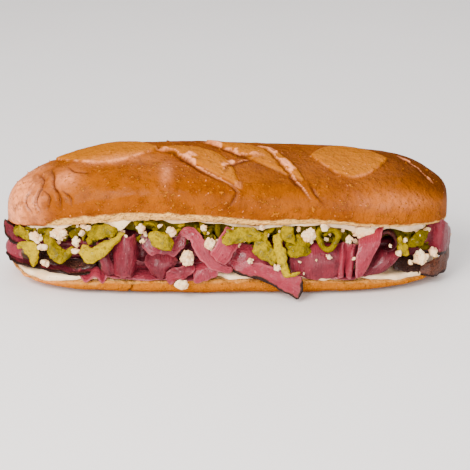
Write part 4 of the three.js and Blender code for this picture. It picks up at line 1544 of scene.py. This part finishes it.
# Crumbs that show in the photograph: along the roll, height, distance in front of the edge and size
CRUMBS: tuple[tuple[float, float, float, float], ...] = (
    (120.3, 25.2, 2, 3.3), (11.9, 25.5, 4, 4.5), (63.4, 36.3, 2, 4.9), (90.2, 26.8, 2.5, 4.9),
    (-79.2, 33.2, 2.5, 4.9), (-79.6, 28.1, 3, 4.4), (109.3, 23.6, 3, 6.0), (25.9, 22.3, 6.5, 4.9),
    (39.9, 18.2, 4, 1.6), (-97.2, 28.1, 4, 5.5), (-101.6, 32.6, 3, 6.5), (-96.4, 19.5, 4, 5.7),
    (-44.8, 41.6, 0.5, 4.9), (-28.6, 40.3, 1.5, 6.3), (53.1, 26.9, 3, 3.0), (66.1, 26.4, 5, 2.5),
    (51.0, 41.6, -1, 5.5), (-52.5, 38.5, 4, 1.6), (96.5, 20.6, 2, 3.3), (-72.9, 39.8, -1.5, 4.9),
    (-76.2, 36.6, -2, 4.4), (46.4, 25.3, 3, 1.6), (38.0, 24.3, 3, 1.9), (85.1, 31.8, 4, 2.2),
    (-34.9, 43.0, 0, 2.7), (-12.5, 42.1, 0, 3.8), (-2.7, 35.1, -1, 2.7), (2.5, 32.5, 1, 2.2),
    (18.1, 42.1, 0, 3.5), (32.7, 35.8, 1, 3.0), (93.6, 32.3, -1, 3.3), (101.8, 33.5, 0, 3.0),
)

FRONT_ONLY = ("left_tip", "left_rim", "left_end", "bark")
REPEATED_BEHIND = (
    "long_flap", "tall_fold", "speckled", "wedge", "tongue", "right_end", "hook", "long", "right",
)
FRONT_SEED = 100
BEHIND_SEED = 500
LOW_SEED = 700

# Where the open tube stands along the roll, so that no small bits close it
TUBE_GAP = (74.0, 92.0)


def pepper_ring() -> Skin:
    """A slice of hollow pepper, stood on its edge so that the front looks through it.

    Returns:
        Its closed skin.
    """
    radius, wall, height = 5.0, 1.6, 5.0
    rows, around = 96, 28
    centre = placed([(52.5, 36, -0.5)])[0]
    axis = np.array([-0.1, -0.9, 0.35])
    axis /= np.linalg.norm(axis)
    side = np.cross(axis, [0.0, 0.0, 1.0])
    side /= np.linalg.norm(side)
    up = np.cross(side, axis)
    turn = np.linspace(0.0, FULL_TURN, rows, endpoint=False)[:, None]
    angle = np.linspace(0.0, FULL_TURN, around, endpoint=False)[None, :]
    noise = Grain(77)
    out = side * np.cos(turn)[..., None] + up * np.sin(turn)[..., None]
    reach = radius + 0.8 * np.sin(3.0 * turn) + wall * np.cos(angle)
    rings = centre + out * reach[..., None] + axis * (height / 2.0 * np.sin(angle))[..., None]
    rings = rings + out * (0.4 * noise.layered(rings, 3.0, 2))[..., None]
    fields = {
        "rim": smooth(0.5, 1.0, np.abs(np.sin(angle)) + 0.0 * turn),
        "tone": 0.62 + 0.0 * (turn + angle),
    }
    return Skin.lofted(rings, fields, closed=True)


@dataclass
class Layer:
    """A layer of the filling that runs through the roll, between two heights.

    Its functions take places along the roll, with the side for its half width and the share of the way from
    the middle to the edge for its heights.
    """

    reach: tuple[float, float]
    half_width: Callable[[Array, Array], Array]
    low: Callable[[Array, Array], Array]
    high: Callable[[Array, Array], Array]
    seed: int
    relief: Callable[[Grain, Array], Array]
    squareness: float = 4.0
    stations: int = 300
    around: int = 120

    def skin(self, tone: float) -> Skin:
        """Builds the layer.

        Args:
            tone: how dark it is, for its material.

        Returns:
            Its closed skin.
        """
        share = (crowded(self.stations, 1.2) + 1.0) / 2.0
        x = (self.reach[0] + (self.reach[1] - self.reach[0]) * share)[:, None]
        angle = FULL_TURN * (np.arange(self.around) + 0.5)[None, :] / self.around
        power = 2.0 / self.squareness
        k = np.sign(np.cos(angle)) * np.abs(np.cos(angle)) ** power
        rise = np.sign(np.sin(angle)) * np.abs(np.sin(angle)) ** power
        near_end = np.minimum(x - self.reach[0], self.reach[1] - x)
        blunt = np.sqrt(1.0 - np.clip(1.0 - near_end / 5.0, 0.0, 1.0) ** 2)
        low, high = self.low(x, k), self.high(x, k)
        middle = (low + high) / 2.0
        y = k * self.half_width(x, np.sign(k)) * blunt
        z = middle + rise * (high - low) / 2.0 * blunt
        rings = np.stack([x + 0.0 * y, y, z], axis=-1)
        rings = rings + ring_normals(rings) * self.relief(Grain(self.seed), rings)[..., None]
        zero = np.zeros(y.shape)
        fields = {
            "rim": zero,
            "bark": zero,
            "tone": zero + tone,
            "grain": rings[..., [0, 2, 1]],
        }
        return Skin.lofted(rings, fields)


def base_dressing() -> Skin:
    """The dressing on the lower half, which bulges over the bread's edge where it shows.

    Returns:
        Its closed skin.
    """
    heaped, inset = 0.5, 4.0

    def spread(x: Array) -> Array:
        """How much of the dressing shows at a place along the roll, from 0 to 1."""
        return np.maximum.reduce([hump(x, -90, 24), hump(x, 8, 16), hump(x, 50, 14), hump(x, 90, 22)])

    def width(x: Array, side: Array) -> Array:
        """Half the dressing's width."""
        lip = 0.9 * spread(x) + 0.9 * wobble(2.1 * x, 1 + side)
        return EDGE_SHARE * BASE_PLAN.half_width(x) + 0.2 - inset * (1.0 - spread(x)) + lip

    def low(x: Array, k: Array) -> Array:
        """Height of its underside, which sags over the bread's edge."""
        return base_cut_at(x) + 0.1 - 1.5 * spread(x) * np.abs(k) ** 12

    def high(x: Array, _k: Array) -> Array:
        """Height of its upper face."""
        level = base_cut_at(x) + DRESSING_GAP + DRESSING_THICKNESS
        return level + heaped * spread(x) + 0.3 * wobble(x, 4)

    def lumps(noise: Grain, points: Array) -> Array:
        """Soft blobs and spread marks."""
        return 0.6 * noise.layered(points, 6.5, 3)

    return Layer((-116, 112), width, low, high, 31, lumps).skin(0.0)


def lid_dressing() -> Skin:
    """The dressing under the lid, which hangs down in lobes near its edges.

    Returns:
        Its closed skin.
    """
    lobes = ((-88, 5, 2.0), (-57, 7, 10.5), (-28, 5, 3.5), (20, 12, 2.0), (70, 12, 6.0), (98, 10, 5.0))

    def drop(x: Array) -> Array:
        """How far the lobes hang."""
        return np.maximum.reduce([deep * hump(x, at, reach) for at, reach, deep in lobes])

    def width(x: Array, side: Array) -> Array:
        """Half the dressing's width."""
        return edge_at(x) - 3.4 + 2.4 * hump(x, -57, 7) + 0.6 * wobble(1.7 * x, 2 + side)

    def low(x: Array, k: Array) -> Array:
        """Height of its underside."""
        body = DRESSING_THICKNESS + 0.5 * wobble(2.3 * x, 6)
        return lid_cut_at(x) - DRESSING_GAP - body - drop(x) * np.abs(k) ** 5

    def high(x: Array, k: Array) -> Array:
        """Height of its upper face, just under the bread."""
        return lid_cut_at(x) - 0.2 + 0.0 * k

    def lumps(noise: Grain, points: Array) -> Array:
        """Soft blobs and spread marks."""
        return 0.45 * noise.layered(points, 5.5, 3)

    return Layer((-110, 108), width, low, high, 32, lumps).skin(0.0)


def beef_stack() -> Skin:
    """The stacked slices inside, whose edges stand in and out of each other.

    Returns:
        Their closed skin.
    """

    def width(x: Array, side: Array) -> Array:
        """Half the stack's width."""
        return heart_half_width(x) + 1.2 * wobble(x * 2, 3 + side)

    def low(x: Array, _k: Array) -> Array:
        """Height of its underside."""
        return base_cut_at(x) + DRESSING_THICKNESS + 2 * DRESSING_GAP

    def high(x: Array, k: Array) -> Array:
        """Height of its upper face."""
        return beef_top_at(x) + 1.2 * wobble(x * 1.7 + 9 * k, 5)

    def edges(noise: Grain, points: Array) -> Array:
        """Raises the edges of slices that lie on each other.

        Args:
            noise: the noise that sways them.
            points: places on the stack.

        Returns:
            How far each place stands out.
        """
        sway = 1.6 * noise.at(points * np.array([1.0, 1.0, 0.2]), 14.0)
        layer = (points[..., 2] + sway) / 2.1
        ridge = 1.0 - np.abs(2.0 * (layer - np.floor(layer)) - 1.0) ** 3
        stretch = np.stack([points[..., 0], np.floor(layer) * 9.0, 0.0 * layer], axis=-1)
        return 1.1 * ridge + 1.5 * noise.layered(stretch, 11.0, 2)

    return Layer((-HEART_HALF_LENGTH, HEART_HALF_LENGTH), width, low, high, 33, edges, around=150).skin(0.62)


def pepper_bed() -> Skin:
    """The chopped peppers under the lid, as the heap that the loose bits lie on.

    Returns:
        Their closed skin.
    """

    def width(x: Array, side: Array) -> Array:
        """Half the bed's width."""
        return heart_half_width(x) + 1.5 * wobble(x * 2.3, 7 + side)

    def low(x: Array, k: Array) -> Array:
        """Height of its underside."""
        return beef_top_at(x) + 1.2 * wobble(x * 1.7 + 9 * k, 5) + 0.7

    def high(x: Array, _k: Array) -> Array:
        """Height of its upper face."""
        return lid_cut_at(x) - DRESSING_THICKNESS - 2 * DRESSING_GAP

    def lumps(noise: Grain, points: Array) -> Array:
        """Lumps as large as chopped peppers."""
        return 1.5 * noise.layered(points, 5.0, 3)

    reach = HEART_HALF_LENGTH - 2.0
    # Its dark tone is a painted shade for the gaps deep under the lid.
    return Layer((-reach, reach), width, low, high, 34, lumps).skin(0.8)


class Spread(Enum):
    """Where a scatter puts its bits."""

    OVER_FACES = "over faces"
    ON_POINTS = "on points"


@dataclass
class Scatter:
    """Small bits strewn by Geometry Nodes and made one plain mesh.

    Sizes and density are in millimetres, and a spread on points takes its sizes from them.
    """

    name: str
    bit: Skin
    material: bpy.types.Material
    slot: Slot
    spread: Spread
    density: float
    smallest: float
    largest: float
    seed: int
    lumpiness: float
    lump_size: float
    slimmest: float = 0.75
    stoutest: float = 1.25
    # Random tones that run dark, partly a painted shade for bits deep in the gaps.
    brightest: float = 0.25
    darkest: float = 1.25

    def tree(self, bit: bpy.types.Object) -> tuple[bpy.types.NodeTree, dict[str, object]]:
        """Builds the node tree.

        Args:
            bit: the object that is strewn.

        Returns:
            The tree, and a value for each of its named inputs by the input's identifier.
        """
        tree = bpy.data.node_groups.new(self.name, "GeometryNodeTree")
        for way in ("INPUT", "OUTPUT"):
            tree.interface.new_socket("Geometry", in_out=way, socket_type="NodeSocketGeometry")
        wanted = (
            ("Bit", "NodeSocketObject", bit),
            ("Density", "NodeSocketFloat", self.density / MM**2),
            ("Smallest", "NodeSocketFloat", self.smallest),
            ("Largest", "NodeSocketFloat", self.largest),
            ("Seed", "NodeSocketInt", self.seed),
            ("Lumpiness", "NodeSocketFloat", self.lumpiness * MM),
            ("Lump Size", "NodeSocketFloat", self.lump_size * MM),
        )
        values = {}
        for label, kind, value in wanted:
            socket = tree.interface.new_socket(label, in_out="INPUT", socket_type=kind)
            values[socket.identifier] = value
        board = Board(tree)
        start = tree.nodes.new("NodeGroupInput")
        end = tree.nodes.new("NodeGroupOutput")

        def given(label: str) -> Wire:
            """Reads one of the tree's named inputs."""
            return Wire(board, start.outputs[label])

        seeded = {"Seed": given("Seed")}
        number, vector = {"data_type": "FLOAT"}, {"data_type": "FLOAT_VECTOR"}
        if self.spread is Spread.OVER_FACES:
            inputs = {"Mesh": given("Geometry"), "Density": given("Density"), **seeded}
            points = board.wire("GeometryNodeDistributePointsOnFaces", {}, inputs, "Points")
            inputs = {2: given("Smallest"), 3: given("Largest"), **seeded}
            size = board.wire("FunctionNodeRandomValue", number, inputs, 1)
        else:
            points = board.wire("GeometryNodeMeshToPoints", {}, {"Mesh": given("Geometry")})
            size = board.wire("GeometryNodeInputNamedAttribute", number, {"Name": "size"})
        inputs = {0: (0.0,) * 3, 1: (FULL_TURN,) * 3, **seeded}
        turn = board.wire("FunctionNodeRandomValue", vector, inputs)
        inputs = {0: (self.slimmest,) * 3, 1: (self.stoutest,) * 3, **seeded}
        shape = board.wire("FunctionNodeRandomValue", vector, inputs)
        scale = board.wire("ShaderNodeVectorMath", {"operation": "SCALE"}, {0: shape, "Scale": size})
        single = board.wire("GeometryNodeObjectInfo", {}, {"Object": given("Bit")}, "Geometry")
        inputs = {"Points": points, "Instance": single, "Rotation": turn, "Scale": scale}
        strewn = board.wire("GeometryNodeInstanceOnPoints", {}, inputs)
        tone = board.wire("FunctionNodeRandomValue", number, {2: self.brightest, 3: self.darkest}, 1)
        stored = {**number, "domain": "INSTANCE"}
        inputs = {"Geometry": strewn, "Name": "tone", "Value": tone}
        toned = board.wire("GeometryNodeStoreNamedAttribute", stored, inputs)
        real = board.wire("GeometryNodeRealizeInstances", {}, {"Geometry": toned})
        place = board.wire("GeometryNodeInputPosition", {}, {})
        frequency = board.wire("ShaderNodeMath", {"operation": "DIVIDE"}, {0: 1.0, 1: given("Lump Size")})
        inputs = {"Vector": place, "Scale": frequency, "Detail": 2.0}
        reach = (board.wire("ShaderNodeTexNoise", {}, inputs) - 0.5) * given("Lumpiness")
        normal = board.wire("GeometryNodeInputNormal", {}, {})
        offset = board.wire("ShaderNodeVectorMath", {"operation": "SCALE"}, {0: normal, "Scale": reach})
        moved = board.wire("GeometryNodeSetPosition", {}, {"Geometry": real, "Offset": offset})
        done = board.wire("GeometryNodeSetMaterial", {}, {"Geometry": moved, "Material": self.material})
        tree.links.new(done.socket, end.inputs["Geometry"])
        return tree, values

    def strew(self, ground: Skin) -> None:
        """Strews the bits over a ground and shows them as one piece.

        Args:
            ground: the faces that they lie on, or the points with their sizes.
        """
        shape = self.bit.mesh(self.name + "_bit")
        shape.transform(Matrix.Translation(Vector((-SHIFT * MM).tolist())))
        bit = linked(shape.name, shape)
        host = linked(self.name + "_ground", ground.mesh(self.name + "_ground"))
        modifier = host.modifiers.new("strew", "NODES")
        tree, values = self.tree(bit)
        modifier.node_group = tree
        for identifier, value in values.items():
            modifier[identifier] = value
        graph = bpy.context.evaluated_depsgraph_get()
        mesh = bpy.data.meshes.new_from_object(host.evaluated_get(graph), depsgraph=graph)
        mesh.name = self.name
        host.modifiers.remove(modifier)
        for helper in (host, bit):
            bpy.data.objects.remove(helper)
        mesh.polygons.foreach_set("use_smooth", [True] * len(mesh.polygons))
        shown(self.name, mesh, self.material, self.slot)


def pepper_bit() -> Skin:
    """A chopped bit of pepper, one millimetre long.

    Returns:
        A short curved strip.
    """
    rows, around = 9, 10
    turn = np.linspace(-0.9, 0.9, rows)[:, None]
    angle = np.linspace(0.0, FULL_TURN, around, endpoint=False)[None, :]
    taper = np.sqrt(np.clip(1.0 - (turn / 1.05) ** 4, 0.0, 1.0))
    reach = 0.55 + 0.13 * taper * np.cos(angle)
    rings = [reach * np.sin(turn), 0.3 * taper * np.sin(angle) + 0.0 * turn, reach * np.cos(turn) - 0.45]
    rim = np.abs(np.sin(angle)) ** 3 + 0.0 * turn
    return Skin.lofted(np.stack(rings, axis=-1), {"rim": rim})


def cheese_bit() -> Skin:
    """A crumb of cheese, one millimetre across.

    Returns:
        A few broken grains that stick together.
    """
    seed = 91
    draw = np.random.default_rng(seed)
    grains = [pebble(np.zeros(3), np.array([0.38, 0.3, 0.34]), seed, 2)]
    for k in range(1, 8):
        way = draw.normal(size=3)
        way *= 0.3 / np.linalg.norm(way)
        grains.append(pebble(way, draw.uniform(0.12, 0.24, 3), seed + k, 1))
    skin = Skin.joined(grains)
    return Skin(skin.points, skin.faces, {})


def side_ground(inset: float, low: float, high: float) -> Skin:
    """An upright sheet along both sides of the filling for small bits to lie on, open round the tube.

    Args:
        inset: how far it lies behind the heap's edge.
        low: its lower edge, as a share of the gap between the bread halves.
        high: its upper edge, as a share of that gap.

    Returns:
        The sheet.
    """
    reach, count = 108.0, 61
    x = np.linspace(-reach, reach, count)
    gap = lid_cut_at(x) - base_cut_at(x)
    skins = []
    for side in (-1.0, 1.0):
        y = side * (edge_at(x) - inset)
        rows = [np.stack([x, y, base_cut_at(x) + gap * share], axis=-1) for share in (low, high)]
        clear = [i for i in range(count - 1) if not TUBE_GAP[0] < -side * x[i] < TUBE_GAP[1]]
        faces = [[i, i + 1, i + 1 + count, i + count] for i in clear]
        skins.append(Skin(np.vstack(rows), faces))
    return Skin.joined(skins)


@dataclass
class Filling:
    """Everything between the bread: dressing, beef, peppers and cheese."""

    beef: bpy.types.Material
    pepper: bpy.types.Material
    cheese: bpy.types.Material
    dressing: bpy.types.Material

    def show_layers(self) -> None:
        """Shows the dressings and the heart of the heap."""
        layers = (
            ("base_cream", base_dressing(), self.dressing, Slot.DRESSING, "dressing_base"),
            ("lid_cream", lid_dressing(), self.dressing, Slot.DRESSING, "dressing_lid"),
            ("stacked_beef", beef_stack(), self.beef, Slot.BEEF, "beef_stack"),
            ("pepper_heap", pepper_bed(), self.pepper, Slot.PEPPER, "pepper_bed"),
        )
        for name, skin, material, slot, node in layers:
            shown(name, skin.mesh(name), material, slot, node)

    @staticmethod
    def show_both(
        label: str, front: Skin, behind: Skin, slot: Slot, material: bpy.types.Material, repeated: bool
    ) -> None:
        """Shows a piece, and the one behind where it stands for a solid too.

        Args:
            label: the front piece's node.
            front: its skin.
            behind: the skin on the far side.
            slot: their slot in the record.
            material: their finish.
            repeated: True where the one behind has a node of its own.
        """
        shown(f"{label}_piece", front.mesh(label), material, slot, label)
        if repeated:
            shown(f"{label}_behind_piece", behind.mesh(label), material, slot, f"{label}_behind")

    def show_strips(
        self,
        strips: Mapping[str, Union[Strip, Rolled]],
        kind: Kind,
        slot: Slot,
        material: bpy.types.Material,
    ) -> None:
        """Shows the strips of one kind, on the front and again turned half round.

        Args:
            strips: the strips by name.
            kind: how they are cut.
            slot: their slot in the record, which also begins their nodes' names.
            material: their finish.
        """
        more = []
        for number, (name, strip) in enumerate(strips.items()):
            front = swept(strip, kind, FRONT_SEED + number)
            behind = swept(strip, kind, BEHIND_SEED + number).turned_round()
            repeated = name in REPEATED_BEHIND
            self.show_both(f"{slot.value}_{name}", front, behind, slot, material, repeated)
            if not repeated and name not in FRONT_ONLY:
                more.append(behind)
        name = f"more_{slot.value}_behind"
        shown(name, Skin.joined(more).mesh(name), material, slot)

    def show_low_slices(self) -> None:
        """Shows the slices of beef that lie lowest, on the base's edge, on both sides."""
        front = [swept(strip, MEAT, LOW_SEED + number) for number, strip in enumerate(LOW_SLICES)]
        both = Skin.joined(front + [skin.turned_round() for skin in front])
        shown("low_slices", both.mesh("low_slices"), self.beef, Slot.BEEF)

    def show_lumps(self) -> None:
        """Shows the lumps of cheese, on the front and again turned half round."""
        more = []
        for name, lump in LUMPS.items():
            skin = lump.skin()
            behind = skin.turned_round()
            repeated = name in REPEATED_BEHIND
            self.show_both(f"cheese_{name}", skin, behind, Slot.CHEESE, self.cheese, repeated)
            if not repeated:
                more.append(behind)
        shown("more_cheese_behind", Skin.joined(more).mesh("more_cheese"), self.cheese, Slot.CHEESE)

    def show_bits(self) -> None:
        """Strews the chopped peppers and the crumbs of cheese."""
        swollen = 1.1
        pepper = (pepper_bit(), self.pepper, Slot.PEPPER)
        cheese = (cheese_bit(), self.cheese, Slot.CHEESE)
        over, exact = Spread.OVER_FACES, Spread.ON_POINTS
        peppers = Scatter(
            "chopped_pepper", *pepper, over,
            density=0.035, smallest=5.0, largest=9.5, seed=4, lumpiness=0.9, lump_size=1.8,
        )
        peppers.strew(side_ground(inset=7.0, low=0.55, high=0.9))
        loose = Scatter(
            "loose_crumbs", *cheese, over,
            density=0.02, smallest=1.6, largest=4.4, seed=7, lumpiness=0.8, lump_size=0.9,
        )
        loose.strew(side_ground(inset=4.5, low=0.5, high=0.9))
        sizes = np.array([[place[3] * swollen] for place in CRUMBS])
        front = Skin(placed([place[:3] for place in CRUMBS]), [], {"size": sizes})
        chosen = Scatter(
            "cheese_crumbs", *cheese, exact,
            density=0.0, smallest=0.0, largest=0.0, seed=9, lumpiness=0.9, lump_size=0.9,
        )
        chosen.strew(Skin.joined([front, front.turned_round()]))


@dataclass
class Studio:
    """A pale floor, soft light and the photograph's camera."""

    target: Place = (0.0041, 0.0, 0.0202)
    distance: float = 0.9
    elevation: float = 20.0
    lens: float = 126.5
    floor: Colour = paint(0.93, 0.9, 0.9)
    floor_shade: Colour = paint(0.9, 0.87, 0.87)
    world: Colour = paint(1.0, 1.0, 1.0)
    world_strength: float = 0.42

    def show(self) -> None:
        """Sets up the floor, the lights and the camera."""
        self._floor()
        self._world()
        self._light("key", (-0.6, -0.75, 0.7), 0.85, 28.0, paint(1.0, 0.95, 0.9))
        self._light("spark", (-0.45, -0.9, 0.85), 0.12, 3.0, paint(1.0, 0.96, 0.92))
        self._light("front", (0.3, -1.1, 0.35), 0.9, 13.0, paint(1.0, 0.97, 0.95))
        self._light("top", (0.1, 0.35, 1.0), 0.8, 6.0, paint(1.0, 0.98, 0.96))
        self._light("back", (0.2, 0.9, 0.9), 0.9, 3.0, paint(1.0, 0.97, 0.95))
        self._camera()

    def _floor(self) -> None:
        """A large pale sheet under the object."""
        reach = 12.0
        mesh = bpy.data.meshes.new("floor")
        corners = [(-reach, -reach, 0.0), (reach, -reach, 0.0), (reach, reach, 0.0), (-reach, reach, 0.0)]
        mesh.from_pydata(corners, [], [(0, 1, 2, 3)])
        floor = linked("floor", mesh)
        board = Paintwork("pale_floor", {"Roughness": 0.6})
        cloud = board.noise(board.place(), 90.0, 2.0)
        board.feed("Base Color", board.mix(self.floor, self.floor_shade, cloud))
        mesh.materials.append(board.material)

    def _world(self) -> None:
        """An even white surround."""
        world = bpy.data.worlds.new("surround")
        world.use_nodes = True
        background = world.node_tree.nodes["Background"]
        background.inputs["Color"].default_value = self.world
        background.inputs["Strength"].default_value = self.world_strength
        bpy.context.scene.world = world

    def _light(self, name: str, place: Place, size: float, power: float, colour: Colour) -> None:
        """Hangs a soft square light that faces the object.

        Args:
            name: the light's name.
            place: where it hangs, in metres.
            size: its width in metres.
            power: its power in watts.
            colour: its colour.
        """
        light = bpy.data.lights.new(name, "AREA")
        light.size = size
        light.energy = power
        light.color = colour[:3]
        lamp = linked(name, light)
        lamp.location = place
        way = Vector(self.target) - Vector(place)
        lamp.rotation_euler = way.to_track_quat("-Z", "Y").to_euler()

    def _camera(self) -> None:
        """The camera, at the photograph's angle."""
        data = bpy.data.cameras.new("camera")
        data.lens = self.lens
        data.sensor_width = 36.0
        camera = linked("camera", data)
        angle = math.radians(self.elevation)
        back = Vector((0.0, -math.cos(angle), math.sin(angle)))
        camera.location = Vector(self.target) + back * self.distance
        camera.rotation_euler = (-back).to_track_quat("-Z", "Y").to_euler()
        bpy.context.scene.camera = camera


def main() -> None:
    """Builds the sandwich and its studio."""
    logging.basicConfig(level=logging.INFO, format="%(message)s")
    crust = CrustFinish().material()
    shown("lid", Lid().skin().mesh("lid"), crust, Slot.CRUST, "bun_lid")
    shown("base", Base().skin().mesh("base"), crust, Slot.CRUST, "bun_base")
    filling = Filling(
        BeefFinish().material(),
        PepperFinish().material(),
        CheeseFinish().material(),
        DressingFinish().material(),
    )
    filling.show_layers()
    filling.show_strips(PEPPERS, PEPPER, Slot.PEPPER, filling.pepper)
    ring = pepper_ring()
    shown("pepper_ring_piece", ring.mesh("pepper_ring"), filling.pepper, Slot.PEPPER, "pepper_ring")
    filling.show_lumps()
    filling.show_strips(BEEF, MEAT, Slot.BEEF, filling.beef)
    filling.show_low_slices()
    filling.show_bits()
    Studio().show()


if __name__ == "__main__":
    main()
